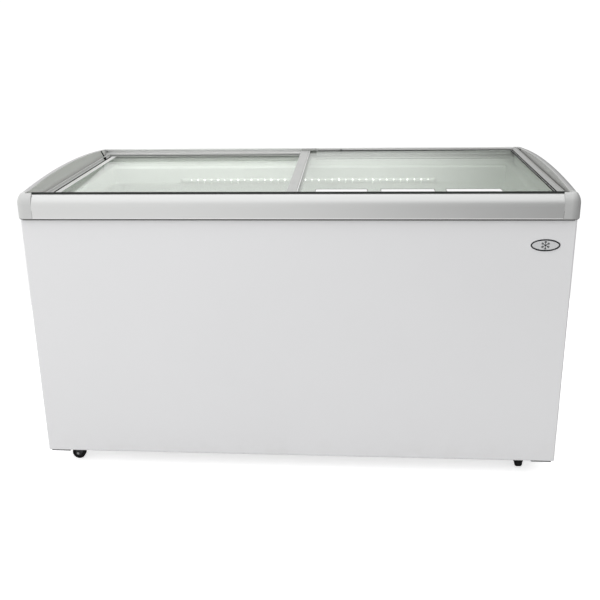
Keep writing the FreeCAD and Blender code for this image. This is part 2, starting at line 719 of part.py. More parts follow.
def lid(side, x_end, x_mid, z, s):
    """s is the direction from the lid's middle stile to its outer end."""
    lo, hi = (x_mid, x_end) if s > 0 else (x_end, x_mid)
    lo, hi = q(lo), q(hi)
    glass = new_body(side + "_glass")
    pad(glass, "XY", [box_loop(lo + 6, hi - 6, -D.lid_front + 4, D.lid_back - 4)], -D.glass_t, 0.0)
    lid_piece(glass, z)
    runner(side + "_front_runner", lo, hi, True, z)
    runner(side + "_rear_runner", lo, hi, False, z)
    # grip along the outer end: a raised rounded bar that holds the pane
    grip = new_body(side + "_end_grip")
    e = q(x_end)
    g = D.grip_w
    top = 9.0 if s > 0 else 8.0
    pad(grip, "XZ", [[
        (e, -7.0), (e, top - 2.5), (e - 2.5 * s, top), (e - 9 * s, top), (e - (g - 2) * s, top - 5), (e - g * s, 1.2),
        (e - g * s, 0.1), (e - 5.9 * s, 0.1), (e - 5.9 * s, -4.1), (e - g * s, -4.1), (e - g * s, -7.0),
    ]], -D.lid_in, D.lid_in)
    lid_piece(grip, z)
    # centre stile
    stile = new_body(side + "_centre_stile")
    m = q(x_mid)
    w = D.stile_w
    pad(stile, "XZ", [[
        (m, -8.0), (m, 1.2), (m + 0.8 * s, 2.0), (m + (w - 1) * s, 2.0), (m + w * s, 1.2), (m + w * s, 0.1),
        (m + 5.9 * s, 0.1), (m + 5.9 * s, -4.1), (m + w * s, -4.1), (m + w * s, -8.0),
    ]], -D.lid_in, D.lid_in)
    lid_piece(stile, z)


lid("lid_right", D.lid_end, -D.upper_left, D.upper_z, 1)
lid("lid_left", -D.lid_end, D.lower_right, D.lower_z, -1)
# wiper between the lids, carried under the upper lid's centre stile
wiper = new_body("lid_right_wiper_seal")
pad(wiper, "XZ", [[(-D.upper_left + 2, -8.0), (-D.upper_left + 8, -8.0), (-D.upper_left + 6, -12.5), (-D.upper_left + 5.5, -14.2),
                   (-D.upper_left + 4.5, -14.2), (-D.upper_left + 4, -12.5)]], -D.lid_in + 0.5, D.lid_in - 0.5)
lid_piece(wiper, D.upper_z)
# block at the rear end of the upper lid's centre stile
block = new_body("lid_right_rear_block")
pad(block, "XY", [box_loop(-20.0, 33.0, 329.0, 341.0)], 2.0, 7.5)
round_edges(block, lambda e: is_vertical(e), 2.0)
lid_piece(block, D.upper_z)

# ---------------------------------------------------------------- machine compartment
comp = new_body("compressor")
revolve(comp, "XZ", [[(0.0, 4.0), (62.0, 4.0), (78.0, 22.0), (78.0, 84.0), (85.0, 84.0), (85.0, 90.0), (78.0, 90.0),
                      (76.0, 128.0), (52.0, 158.0), (0.0, 166.0), (0.0, 156.0), (48.0, 149.0), (68.0, 124.0),
                      (70.0, 26.0), (58.0, 12.0), (0.0, 12.0)]])
pad(comp, "XY", [box_loop(-105.0, 105.0, -72.0, 72.0)] + [("circle", x, y, 5.0) for x in (-88.0, 88.0) for y in (-56.0, 56.0)],
    1.0, 4.2)
put(comp, D.comp_cx, D.comp_cy, 68.0)
grommets = []
for x in (-88.0, 88.0):
    for y in (-56.0, 56.0):
        grommets.append((D.comp_cx + x, D.comp_cy + y, 52.5, 11.0, 16.4))
cylinder_row("compressor_grommets", grommets)
relay = new_body("start_relay_box")
pad(relay, "XY", [box_loop(-34.0, 34.0, -22.0, 22.0)], 0.0, 52.0)
round_edges(relay, is_vertical, 4.0)
put(relay, D.comp_cx - 14, D.comp_cy - 101.5, 96.0)

condenser = new_body("condenser")
cz0, cz1 = 60.0, 300.0
fin_loops = []
pad(condenser, "XY", [box_loop(470.0 + 9.0 * i, 470.8 + 9.0 * i, 258.0, 318.0) for i in range(26)], cz0, cz1)
pad(condenser, "YZ", [("circle", yy, cz0 + 20 + 40 * j, 5.0) for yy in (273.0, 303.0) for j in range(6)], 462.0, 703.5)
pad(condenser, "XY", [box_loop(462.0, 464.0, 254.0, 322.0), box_loop(701.5, 703.5, 254.0, 322.0)], 52.5, cz1 + 6)

motor = new_body("fan_motor")
revolve(motor, "XZ", [[(0.0, -40.0), (24.0, -40.0), (29.0, -35.0), (29.0, -6.0), (20.0, 0.0), (7.0, 0.0), (7.0, 6.0), (3.0, 6.0),
                       (3.0, 24.0), (0.0, 24.0)]])
put(motor, D.fan_x, D.fan_y, D.fan_z, Rot(V(1, 0, 0), -90))
bracket = new_body("fan_bracket")
pad(bracket, "XZ", [box_loop(D.fan_x - 118, D.fan_x + 118, 60.0, 296.0), ("circle", D.fan_x, D.fan_z, D.fan_r + 6)],
    D.fan_y + 8, D.fan_y + 11)
pad(bracket, "XZ", [box_loop(D.fan_x - 118, D.fan_x + 118, D.fan_z - 6, D.fan_z + 6), ("circle", D.fan_x, D.fan_z, 29.3)],
    D.fan_y - 24, D.fan_y - 21)
for s in (-1, 1):
    a, c = (D.fan_x - 118, D.fan_x - 112) if s < 0 else (D.fan_x + 112, D.fan_x + 118)
    pad(bracket, "YZ", [box_loop(D.fan_y - 24, D.fan_y + 11, D.fan_z - 6, D.fan_z + 6)], a, c)
pad(bracket, "XZ", [box_loop(D.fan_x - 118, D.fan_x - 106, 52.5, 62.0), box_loop(D.fan_x + 106, D.fan_x + 118, 52.5, 62.0)],
    D.fan_y + 8, D.fan_y + 11)

blade = new_body("fan_blade")
revolve(blade, "XZ", [[(3.06, 9.0), (17.0, 9.0), (17.0, 26.0), (13.0, 29.0), (3.06, 29.0)]])
doc.recompute()
bsk = sketch(blade, "XY", [[(12.0, -10.0), (40.0, -17.0), (78.0, -20.0), (82.0, -8.0), (82.0, 12.0), (74.0, 21.0), (40.0, 15.0),
                            (12.0, 9.0)]], 18.0, Rot(V(1, 0, 0), 24))
bf = blade.newObject("PartDesign::Pad", "fan_vane")
bf.Profile = bsk
bf.Length = 1.4
bf.Midplane = True
doc.recompute()
pat = blade.newObject("PartDesign::PolarPattern", "fan_vanes")
pat.Originals = [bf]
pat.Axis = (origin_item(blade, "Z_Axis"), [""])
pat.Angle = 360
pat.Occurrences = 5
blade.Tip = pat
put(blade, D.fan_x, D.fan_y, D.fan_z, Rot(V(1, 0, 0), -90))

drier = new_body("filter_drier")
revolve(drier, "XZ", [[(0.0, 0.0), (3.0, 0.0), (3.0, 12.0), (11.0, 22.0), (11.0, 92.0), (3.0, 102.0), (3.0, 114.0), (0.0, 114.0)]])
put(drier, 452.0, 120.0, 120.0)

tube("discharge_pipe", [(585.0, 20.0, 120.0), (585.0, 60.0, 120.0), (720.0, 60.0, 120.0), (720.0, 303.0, 120.0), (704.2, 303.0, 120.0)],
     6.0, 10.0)
tube("suction_pipe", [(663.5, -60.0, 120.0), (700.0, -60.0, 120.0), (700.0, -60.0, 329.0)], 8.0, 14.0)

# rear cover of the compartment: a shallow louvred tray
cov_blank = new_body("cover_blank", kept=False)
pad(cov_blank, "XZ", [box_loop(D.comp_x + 0.6, D.body_x - D.sheet_t - 0.4, 61.5, D.comp_z - 0.5)], D.cover_y, D.body_y)
pocket(cov_blank, "XZ", [box_loop(D.comp_x + 2.6, D.body_x - D.sheet_t - 2.4, 63.5, D.comp_z - 2.5)], D.cover_y + 1.5, D.body_y + 5)
pocket(cov_blank, "XZ", [box_loop(462 + 86 * c, 536 + 86 * c, 84 + 14 * r, 89 + 14 * r) for c in range(3) for r in range(11)],
       D.cover_y - 5, D.cover_y + 4)
pocket(cov_blank, "XZ", [("circle", 500.0, 275.0, 4.6), ("circle", 640.0, 275.0, 9.2)], D.cover_y - 5, D.cover_y + 4)
cover = doc.addObject("Part::Refine", "rear_cover")
cover.Source = cov_blank
keep(cover, "rear_cover")

thermo = new_body("thermostat_body")
pad(thermo, "XZ", [box_loop(478.0, 522.0, 258.0, 292.0)], D.cover_y - 18, D.cover_y)
pad(thermo, "XZ", [("circle", 500.0, 275.0, 3.0)], D.cover_y - 1, D.cover_y + 13)
# the condenser stops short of the thermostat
knob = new_body("thermostat_knob")
revolve(knob, "XZ", [[(3.06, 2.0), (19.0, 2.0), (19.0, 8.0), (16.5, 15.0), (3.06, 15.0)]])
pad(knob, "XY", [box_loop(-2.5, 2.5, 4.0, 15.0)], 14.0, 17.5)
put(knob, 500.0, D.cover_y, 275.0, Rot(V(1, 0, 0), -90))

inlet = new_body("mains_inlet_gland")
revolve(inlet, "XZ", [[(4.2, -6.0), (11.5, -6.0), (11.5, 0.0), (9.0, 0.0), (9.0, 1.5), (12.0, 1.5), (12.0, 5.0), (8.5, 9.0), (7.0, 17.0),
                       (4.2, 17.0)]])
put(inlet, 640.0, D.cover_y, 275.0, Rot(V(1, 0, 0), -90))

# drain: tube through the floor and its plug inside the well
dt = new_body("drain_tube")
revolve(dt, "XZ", [[(7.0, 46.0), (10.0, 46.0), (10.0, 117.9), (7.0, 117.9)]])
put(dt, drain_x, drain_y, 0.0)
dp = new_body("drain_plug")
revolve(dp, "XZ", [[(0.0, 100.0), (6.8, 100.0), (6.8, 118.2), (15.0, 118.2), (15.0, 121.2), (4.0, 121.2), (4.0, 126.0), (0.0, 126.0)]])
put(dp, drain_x, drain_y, 0.0)

# ---------------------------------------------------------------- castors
plates = []
CASTORS = {"fl": (-1, -1, 0.0), "fr": (1, -1, 270.0), "rl": (-1, 1, 0.0), "rr": (1, 1, 270.0)}
plate_body = new_body("castor_plates")
corners = [(sx, sy) for sx in (-1, 1) for sy in (-1, 1)]
half = D.plate_w / 2
pad(plate_body, "XY", [box_loop(D.castor_x * sx - half, D.castor_x * sx + half, D.castor_y * sy - half, D.castor_y * sy + half)
                       for sx, sy in corners]
    + [("circle", x, y, D.bolt_r + 0.3) for x, y in plate_spots(D.bolt_gap)], 47.5, D.body_low)
pad(plate_body, "XY", [("circle", D.castor_x * sx, D.castor_y * sy, 14.0) for sx, sy in corners], 44.6, 47.5)
pad(plate_body, "XY", [("circle", D.castor_x * sx, D.castor_y * sy, D.pin_r) for sx, sy in corners], 40.4, 44.6)
pad(plate_body, "XY", [("circle", D.castor_x * sx, D.castor_y * sy, 6.5) for sx, sy in corners], 38.6, 40.6)

bolt_parts = []
for i, (x, y) in enumerate(plate_spots(D.bolt_gap)):
    head = doc.addObject("Part::Prism", "bolt_head_%d" % i)
    head.Polygon = 6
    head.Circumradius = 5.7
    head.Height = 3.4
    put(head, x, y, 44.1)
    shank = doc.addObject("Part::Cylinder", "bolt_shank_%d" % i)
    shank.setExpression("Radius", "Dims.bolt_r")
    shank.Height = 6.8
    put(shank, x, y, 46.0)
    one = doc.addObject("Part::Fuse", "bolt_%d" % i)
    one.Base = head
    one.Tool = shank
    bolt_parts.append(one)
bolts = doc.addObject("Part::Compound", "castor_bolts")
bolts.Links = bolt_parts
keep(bolts, "castor_bolts")

for name, (sx, sy, yaw) in CASTORS.items():
    turn = Rot(V(0, 0, 1), yaw)
    fork = new_body("castor_fork_" + name)
    # crown with a running hole for the king pin
    pad(fork, "XY", [("circle", 0.0, 0.0, 13.5), ("circle", 0.0, 0.0, D.pin_r + D.running)], 41.2, 44.2)
    leg = [(-12.0, 44.2), (12.0, 44.2), (9.0, 38.0), (-5.0, 15.0), (-9.0, 12.0), (-16.0, 11.8), (-20.5, 15.5), (-20.5, 23.0), (-15.0, 38.0)]
    for s in (-1, 1):
        a, c = (9.6, 11.6) if s > 0 else (-11.6, -9.6)
        pad(fork, "XZ", [leg], a, c)
    for s in (-1, 1):
        a, c = (9.0, 11.6) if s > 0 else (-11.6, -9.0)
        pad(fork, "XY", [box_loop(-11.0, 10.5, a, c)], 41.2, 44.2)
    # riveted axle
    pad(fork, "XZ", [("circle", -D.trail, D.wheel_r, D.axle_r)], -11.0, 11.0)
    pad(fork, "XZ", [("circle", -D.trail, D.wheel_r, 4.8)], -12.8, -11.5)
    pad(fork, "XZ", [("circle", -D.trail, D.wheel_r, 4.8)], 11.5, 12.8)
    put(fork, D.castor_x * sx, D.castor_y * sy, 0.0, turn)
    wheel = new_body("castor_wheel_" + name)
    hw = D.wheel_w / 2
    r = D.wheel_r
    revolve(wheel, "XZ", [[
        (D.axle_r + D.running, -9.2), (6.5, -9.2), (6.5, -7.0), (r - 5.5, -7.0), (r - 4.5, -hw), (r - 2.5, -hw),
        (r, -hw + 2.5), (r, hw - 2.5), (r - 2.5, hw), (r - 4.5, hw), (r - 5.5, 7.0), (6.5, 7.0), (6.5, 9.2), (D.axle_r + D.running, 9.2),
    ]])
    offset = turn.multVec(V(-D.trail.v, 0, 0))
    wheel.Placement = Place(V(0, 0, 0), turn.multiply(Rot(V(1, 0, 0), 90)))
    cosy, siny = math.cos(math.radians(yaw)), math.sin(math.radians(yaw))
    put(wheel, D.castor_x * sx - D.trail * round(cosy, 6), D.castor_y * sy - D.trail * round(siny, 6), D.wheel_r,
        turn.multiply(Rot(V(1, 0, 0), 90)))

# cover screws: four pan heads on the rear cover's face
screws = []
for i, (x, zz) in enumerate([(446.0, 74.0), (726.0, 74.0), (446.0, 316.0), (726.0, 316.0)]):
    s1 = doc.addObject("Part::Cylinder", "screw_%d" % i)
    s1.Radius = 4.0
    s1.Height = 2.2
    put(s1, x, D.cover_y + 3.7, zz, Rot(V(1, 0, 0), 90))
    screws.append(s1)
sc = doc.addObject("Part::Compound", "cover_screws")
sc.Links = screws
keep(sc, "cover_screws")

# ---------------------------------------------------------------- check and write
doc.recompute()
bad = []
for obj in doc.Objects:
    state = [str(x) for x in obj.State]
    if "Invalid" in state or "Error" in state:
        bad.append(obj.Name + " " + str(state))
names = set()
for label, obj in PARTS:
    shape = obj.Shape
    if shape.isNull() or not shape.isValid() or not shape.Solids:
        bad.append(label + " has no valid shape")
    if label in names:
        bad.append(label + " is named twice")
    names.add(label)
if bad:
    raise RuntimeError("; ".join(bad))
os.makedirs("parts", exist_ok=True)
for label, obj in PARTS:
    obj.Shape.exportStep("parts/" + label + ".step")
    print("%-28s solids %2d volume %12.1f" % (label, len(obj.Shape.Solids), obj.Shape.Volume))
box = FreeCAD.BoundBox()
for label, obj in PARTS:
    box.add(obj.Shape.BoundBox)
print("nodes", len(PARTS), box)
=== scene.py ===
import math

import bmesh
import bpy
from mathutils import Matrix, Vector


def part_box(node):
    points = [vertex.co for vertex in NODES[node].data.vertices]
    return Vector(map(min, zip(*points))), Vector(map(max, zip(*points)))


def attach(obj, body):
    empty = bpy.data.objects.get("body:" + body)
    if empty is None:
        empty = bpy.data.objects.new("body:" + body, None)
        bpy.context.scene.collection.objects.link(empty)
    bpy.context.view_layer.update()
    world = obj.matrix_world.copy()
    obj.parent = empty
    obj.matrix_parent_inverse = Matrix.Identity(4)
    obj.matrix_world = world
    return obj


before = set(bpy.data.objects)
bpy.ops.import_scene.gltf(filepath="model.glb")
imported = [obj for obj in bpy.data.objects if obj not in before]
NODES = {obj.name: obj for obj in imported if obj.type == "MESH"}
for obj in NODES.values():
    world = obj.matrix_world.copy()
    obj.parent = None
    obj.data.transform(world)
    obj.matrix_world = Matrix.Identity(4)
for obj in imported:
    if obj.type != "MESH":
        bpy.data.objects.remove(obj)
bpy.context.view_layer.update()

SCENE = bpy.context.scene
MM = 0.001

# ------------------------------------------------------------------ camera
YAW, PITCH, ROLL = 0.0754, 0.2996, -0.01372
fwd = Vector((-math.sin(YAW) * math.cos(PITCH), math.cos(YAW) * math.cos(PITCH), -math.sin(PITCH)))
right0 = Vector((math.cos(YAW), math.sin(YAW), 0.0))
up0 = right0.cross(fwd)
right = math.cos(ROLL) * right0 + math.sin(ROLL) * up0
up = -math.sin(ROLL) * right0 + math.cos(ROLL) * up0
cam_data = bpy.data.cameras.new("camera")
cam_data.sensor_fit = "HORIZONTAL"
cam_data.sensor_width = 36.0
cam_data.lens = 746.8 / 600.0 * 36.0
cam_data.clip_start = 0.02
cam_data.clip_end = 60.0
cam = bpy.data.objects.new("camera", cam_data)
SCENE.collection.objects.link(cam)
cam.matrix_world = Matrix((
    (right.x, up.x, -fwd.x, 0.1670),
    (right.y, up.y, -fwd.y, -2.3085),
    (right.z, up.z, -fwd.z, 1.1306),
    (0.0, 0.0, 0.0, 1.0),
))
SCENE.camera = cam

# ------------------------------------------------------------------ light
SCENE.view_settings.view_transform = "Standard"
SCENE.view_settings.look = "None"

world = bpy.data.worlds.new("studio")
SCENE.world = world
world.use_nodes = True
wt = world.node_tree
wt.nodes.clear()
w_out = wt.nodes.new("ShaderNodeOutputWorld")
w_mix = wt.nodes.new("ShaderNodeMixShader")
w_path = wt.nodes.new("ShaderNodeLightPath")
w_white = wt.nodes.new("ShaderNodeBackground")
w_white.inputs["Color"].default_value = (1.0, 1.0, 1.0, 1.0)
w_white.inputs["Strength"].default_value = 1.05
w_room = wt.nodes.new("ShaderNodeBackground")
w_co = wt.nodes.new("ShaderNodeTexCoord")
w_sep = wt.nodes.new("ShaderNodeSeparateXYZ")
wt.links.new(w_co.outputs["Generated"], w_sep.inputs[0])
# a bright room on the left that falls off to the right, before and behind the freezer, and an even ceiling
ROOM_FRONT = ((0.0, 0.92), (0.30, 0.92), (0.44, 0.86), (0.52, 0.64), (0.60, 0.34), (0.70, 0.19), (1.0, 0.17))
ROOM_REAR = ((0.0, 0.95), (0.40, 0.95), (0.51, 0.90), (0.54, 0.78), (0.57, 0.50), (0.60, 0.20), (0.66, 0.13), (1.0, 0.22))


def room_side(stops):
    r = wt.nodes.new("ShaderNodeValToRGB")
    r.color_ramp.interpolation = "B_SPLINE"
    while len(r.color_ramp.elements) < len(stops):
        r.color_ramp.elements.new(0.5)
    for e, (p, c) in zip(r.color_ramp.elements, stops):
        e.position = p
        e.color = (c, c, c * 0.995, 1.0)
    return r


w_x = room_side(ROOM_FRONT)
w_r = room_side(ROOM_REAR)
w_y = wt.nodes.new("ShaderNodeMapRange")
w_y.interpolation_type = "SMOOTHSTEP"
for k, v in (("From Min", -0.2), ("From Max", 0.35), ("To Min", 0.0), ("To Max", 1.0)):
    w_y.inputs[k].default_value = v
w_fr = wt.nodes.new("ShaderNodeMix")
w_fr.data_type = "RGBA"
w_half = wt.nodes.new("ShaderNodeMapRange")
for k, v in (("From Min", -1.0), ("From Max", 1.0), ("To Min", 0.0), ("To Max", 1.0)):
    w_half.inputs[k].default_value = v
w_z = wt.nodes.new("ShaderNodeMapRange")
w_z.interpolation_type = "SMOOTHSTEP"
for k, v in (("From Min", 0.26), ("From Max", 0.66), ("To Min", 0.0), ("To Max", 0.68)):
    w_z.inputs[k].default_value = v
w_up = wt.nodes.new("ShaderNodeMix")
w_up.data_type = "RGBA"
w_up.inputs[7].default_value = (1.25, 1.25, 1.25, 1.0)
wt.links.new(w_sep.outputs["X"], w_half.inputs["Value"])
wt.links.new(w_half.outputs[0], w_x.inputs[0])
wt.links.new(w_sep.outputs["Z"], w_z.inputs["Value"])
wt.links.new(w_z.outputs[0], w_up.inputs[0])
wt.links.new(w_half.outputs[0], w_r.inputs[0])
wt.links.new(w_sep.outputs["Y"], w_y.inputs["Value"])
wt.links.new(w_y.outputs[0], w_fr.inputs[0])
wt.links.new(w_x.outputs[0], w_fr.inputs[6])
wt.links.new(w_r.outputs[0], w_fr.inputs[7])
wt.links.new(w_fr.outputs[2], w_up.inputs[6])
wt.links.new(w_up.outputs[2], w_room.inputs["Color"])
w_room.inputs["Strength"].default_value = 1.0
wt.links.new(w_path.outputs["Is Camera Ray"], w_mix.inputs[0])
wt.links.new(w_room.outputs[0], w_mix.inputs[1])
wt.links.new(w_white.outputs[0], w_mix.inputs[2])
wt.links.new(w_mix.outputs[0], w_out.inputs[0])


def area(name, place, target, size, power, size_y=None):
    data = bpy.data.lights.new(name, "AREA")
    data.shape = "RECTANGLE"
    data.size = size
    data.size_y = size_y or size
    data.energy = power
    o = bpy.data.objects.new(name, data)
    SCENE.collection.objects.link(o)
    o.location = place
    o.rotation_euler = (Vector(target) - Vector(place)).to_track_quat("-Z", "Y").to_euler()
    return o


key = area("key", (-2.6, -3.2, 3.0), (0.0, 0.0, 0.45), 2.6, 20.0)
key.visible_glossy = False
top = area("top", (0.0, -0.4, 3.4), (0.0, 0.0, 0.6), 3.0, 20.0)
top.visible_glossy = False
front = area("front", (-1.2, -4.0, 0.55), (-0.05, 0.0, 0.5), 2.8, 17.0, 1.2)
front.visible_glossy = False

# the cabinet's own glow on the collar beside the left lid
inside = area("inside", (-0.34, -0.12, 1.45), (-0.70, 0.02, 0.79), 0.7, 3.2)
inside.visible_glossy = False
inside.visible_camera = False
inside.data.use_shadow = False
lit = bpy.data.collections.new("lit_by_inside")
lit.objects.link(NODES["top_collar"])
inside.light_linking.receiver_collection = lit


# ------------------------------------------------------------------ materials
def tree(name):
    m = bpy.data.materials.new(name)
    m.use_nodes = True
    t = m.node_tree
    t.nodes.clear()
    out = t.nodes.new("ShaderNodeOutputMaterial")
    return m, t, out


def coords(t, scale=(1.0, 1.0, 1.0)):
    c = t.nodes.new("ShaderNodeTexCoord")
    mp = t.nodes.new("ShaderNodeMapping")
    mp.inputs["Scale"].default_value = scale
    t.links.new(c.outputs["Object"], mp.inputs["Vector"])
    return mp.outputs[0]


def noise(t, vec, scale, detail=2.0, rough=0.5):
    n = t.nodes.new("ShaderNodeTexNoise")
    n.inputs["Scale"].default_value = scale
    n.inputs["Detail"].default_value = detail
    n.inputs["Roughness"].default_value = rough
    t.links.new(vec, n.inputs["Vector"])
    return n.outputs["Fac"]


def ranged(t, value, a, b, lo=0.25, hi=0.75):
    r = t.nodes.new("ShaderNodeMapRange")
    r.inputs["From Min"].default_value = lo
    r.inputs["From Max"].default_value = hi
    r.inputs["To Min"].default_value = a
    r.inputs["To Max"].default_value = b
    t.links.new(value, r.inputs["Value"])
    return r.outputs[0]


def ramp(t, value, stops):
    r = t.nodes.new("ShaderNodeValToRGB")
    e = r.color_ramp.elements
    while len(e) < len(stops):
        e.new(0.5)
    for i, (p, c) in enumerate(stops):
        e[i].position = p
        e[i].color = (c[0], c[1], c[2], 1.0)
    t.links.new(value, r.inputs[0])
    return r.outputs[0]


def scaled(c, k):
    return tuple(min(1.0, max(0.0, x * k)) for x in c)


def bumped(t, shader, height, strength, distance=0.001):
    b = t.nodes.new("ShaderNodeBump")
    b.inputs["Strength"].default_value = strength
    b.inputs["Distance"].default_value = distance
    t.links.new(height, b.inputs["Height"])
    t.links.new(b.outputs[0], shader.inputs["Normal"])
    return b


def add(t, a, b, kind="ADD", k=None):
    n = t.nodes.new("ShaderNodeMath")
    n.operation = kind
    t.links.new(a, n.inputs[0])
    if b is None:
        n.inputs[1].default_value = k
    else:
        t.links.new(b, n.inputs[1])
    return n.outputs[0]


def finish_of(name, color, rough, metal=0.0, vary=0.03, patch=5.0, rough_vary=0.05, rough_scale=30.0,
              grain=600.0, grain_strength=0.04, stretch=(1.0, 1.0, 1.0), coat=0.0, coat_rough=0.1, spec=0.5, ior=1.5,
              grain_detail=2.0, distance=0.001, dirt=None):
    """A painted, moulded or metal surface: slow colour drift, uneven gloss and a fine grain."""
    m, t, out = tree(name)
    s = t.nodes.new("ShaderNodeBsdfPrincipled")
    s.inputs["Metallic"].default_value = metal
    s.inputs["Coat Weight"].default_value = coat
    s.inputs["Coat Roughness"].default_value = coat_rough
    s.inputs["Specular IOR Level"].default_value = spec
    s.inputs["IOR"].default_value = ior
    plain = coords(t)
    col = ramp(t, noise(t, plain, patch, 3.0), [(0.3, scaled(color, 1 - vary)), (0.7, scaled(color, 1 + vary))])
    if dirt is not None:
        # dust and scuffs that gather low down
        sep = t.nodes.new("ShaderNodeSeparateXYZ")
        t.links.new(plain, sep.inputs[0])
        low = ranged(t, sep.outputs["Z"], 1.0, 0.0, dirt[1], dirt[2])
        spots = ranged(t, noise(t, plain, 24.0, 5.0, 0.65), 0.0, dirt[3], 0.45, 0.75)
        fac = add(t, low, spots, "MULTIPLY")
        mx = t.nodes.new("ShaderNodeMix")
        mx.data_type = "RGBA"
        t.links.new(fac, mx.inputs[0])
        t.links.new(col, mx.inputs[6])
        mx.inputs[7].default_value = (*dirt[0], 1.0)
        col = mx.outputs[2]
    t.links.new(col, s.inputs["Base Color"])
    lined = coords(t, stretch)
    t.links.new(ranged(t, noise(t, lined, rough_scale, 3.0), max(0.02, rough - rough_vary), rough + rough_vary),
                s.inputs["Roughness"])
    bumped(t, s, noise(t, lined, grain, grain_detail), grain_strength, distance)
    t.links.new(s.outputs[0], out.inputs[0])
    return m


def side_rail_shaded_material(name, outer, crown_shade, inner, inward):
    """Brushed grey end piece with painted light and shade: tones chosen by the face's direction are mixed into the base
    colour of its top and inner face.
    """
    m = finish_of(name, outer, 0.38, metal=0.25, vary=0.015, patch=6.0, rough_vary=0.05, rough_scale=8.0,
                  stretch=(50.0, 1.0, 50.0), grain=24.0, grain_strength=0.02, distance=0.0001)
    t = m.node_tree
    s = [n for n in t.nodes if n.type == "BSDF_PRINCIPLED"][0]
    drift = s.inputs["Base Color"].links[0].from_socket
    geo = t.nodes.new("ShaderNodeNewGeometry")
    sep = t.nodes.new("ShaderNodeSeparateXYZ")
    t.links.new(geo.outputs["Normal"], sep.inputs[0])
    # painted shade: faces turned upwards take the darker crown tone
    top_shade_share = ranged(t, sep.outputs["Z"], 0.0, 1.0, 0.15, 0.85)
    # painted light and shade: faces turned inwards take the inner tone
    inner_painted_share = ranged(t, sep.outputs["X"], 0.0, 1.0, 0.55 * inward, 0.95 * inward)
    col = drift
    for share, tone in ((top_shade_share, crown_shade), (inner_painted_share, inner)):
        k = t.nodes.new("ShaderNodeMix")
        k.data_type = "RGBA"
        t.links.new(share, k.inputs[0])
        t.links.new(col, k.inputs[6])
        k.inputs[7].default_value = (tone[0], tone[1], tone[2], 1.0)
        col = k.outputs[2]
    t.links.new(col, s.inputs["Base Color"])
    return m


def spangle(name, color, rough=0.38):
    """Zinc-coated sheet with its leaf-like crystals."""
    m, t, out = tree(name)
    s = t.nodes.new("ShaderNodeBsdfPrincipled")
    s.inputs["Metallic"].default_value = 1.0
    v = t.nodes.new("ShaderNodeTexVoronoi")
    v.inputs["Scale"].default_value = 95.0
    v.inputs["Randomness"].default_value = 1.0
    t.links.new(coords(t), v.inputs["Vector"])
    bw = t.nodes.new("ShaderNodeRGBToBW")
    t.links.new(v.outputs["Color"], bw.inputs[0])
    t.links.new(ramp(t, bw.outputs[0], [(0.1, scaled(color, 0.86)), (0.9, scaled(color, 1.08))]), s.inputs["Base Color"])
    t.links.new(ranged(t, bw.outputs[0], rough - 0.08, rough + 0.1, 0.1, 0.9), s.inputs["Roughness"])
    bumped(t, s, v.outputs["Distance"], 0.06)
    t.links.new(s.outputs[0], out.inputs[0])
    return m


def foam_material():
    m, t, out = tree("foam")
    s = t.nodes.new("ShaderNodeBsdfPrincipled")
    v = t.nodes.new("ShaderNodeTexVoronoi")
    v.inputs["Scale"].default_value = 260.0
    t.links.new(coords(t), v.inputs["Vector"])
    t.links.new(ramp(t, noise(t, coords(t), 8.0, 5.0), [(0.3, (0.78, 0.66, 0.36)), (0.7, (0.88, 0.79, 0.52))]),
                s.inputs["Base Color"])
    t.links.new(ranged(t, v.outputs["Distance"], 0.75, 0.95, 0.0, 1.0), s.inputs["Roughness"])
    bumped(t, s, v.outputs["Distance"], 0.5, 0.002)
    t.links.new(s.outputs[0], out.inputs[0])
    return m


def glass_material(name, tint, gloss_tint, smear, mirror=0.9):
    """A pane: tinted, with the mirror of its two faces. Lamps shine through it."""
    m, t, out = tree(name)
    see = t.nodes.new("ShaderNodeBsdfTransparent")
    see.inputs["Color"].default_value = (*tint, 1.0)
    shine = t.nodes.new("ShaderNodeBsdfGlossy")
    shine.inputs["Color"].default_value = (*gloss_tint, 1.0)
    # faint wiping marks
    marks = noise(t, coords(t, (1.0, 5.0, 1.0)), 3.0, 4.0, 0.6)
    t.links.new(ranged(t, marks, 0.015, smear), shine.inputs["Roughness"])
    # mirror share of one face, rising towards grazing sight, the same from either side
    facing = t.nodes.new("ShaderNodeLayerWeight")
    facing.inputs["Blend"].default_value = 0.5
    fres = add(t, add(t, add(t, facing.outputs["Facing"], None, "POWER", 5.0), None, "MULTIPLY", mirror), None, "ADD", 0.04)
    mix = t.nodes.new("ShaderNodeMixShader")
    t.links.new(fres, mix.inputs[0])
    t.links.new(see.outputs[0], mix.inputs[1])
    t.links.new(shine.outputs[0], mix.inputs[2])
    t.links.new(mix.outputs[0], out.inputs[0])
    return m


def glow_material(name, color, strength):
    m, t, out = tree(name)
    s = t.nodes.new("ShaderNodeBsdfPrincipled")
    t.links.new(ramp(t, noise(t, coords(t), 900.0), [(0.3, scaled(color, 0.95)), (0.7, color)]), s.inputs["Base Color"])
    s.inputs["Roughness"].default_value = 0.25
    s.inputs["Emission Color"].default_value = (*color, 1.0)
    s.inputs["Emission Strength"].default_value = strength
    t.links.new(s.outputs[0], out.inputs[0])
    return m


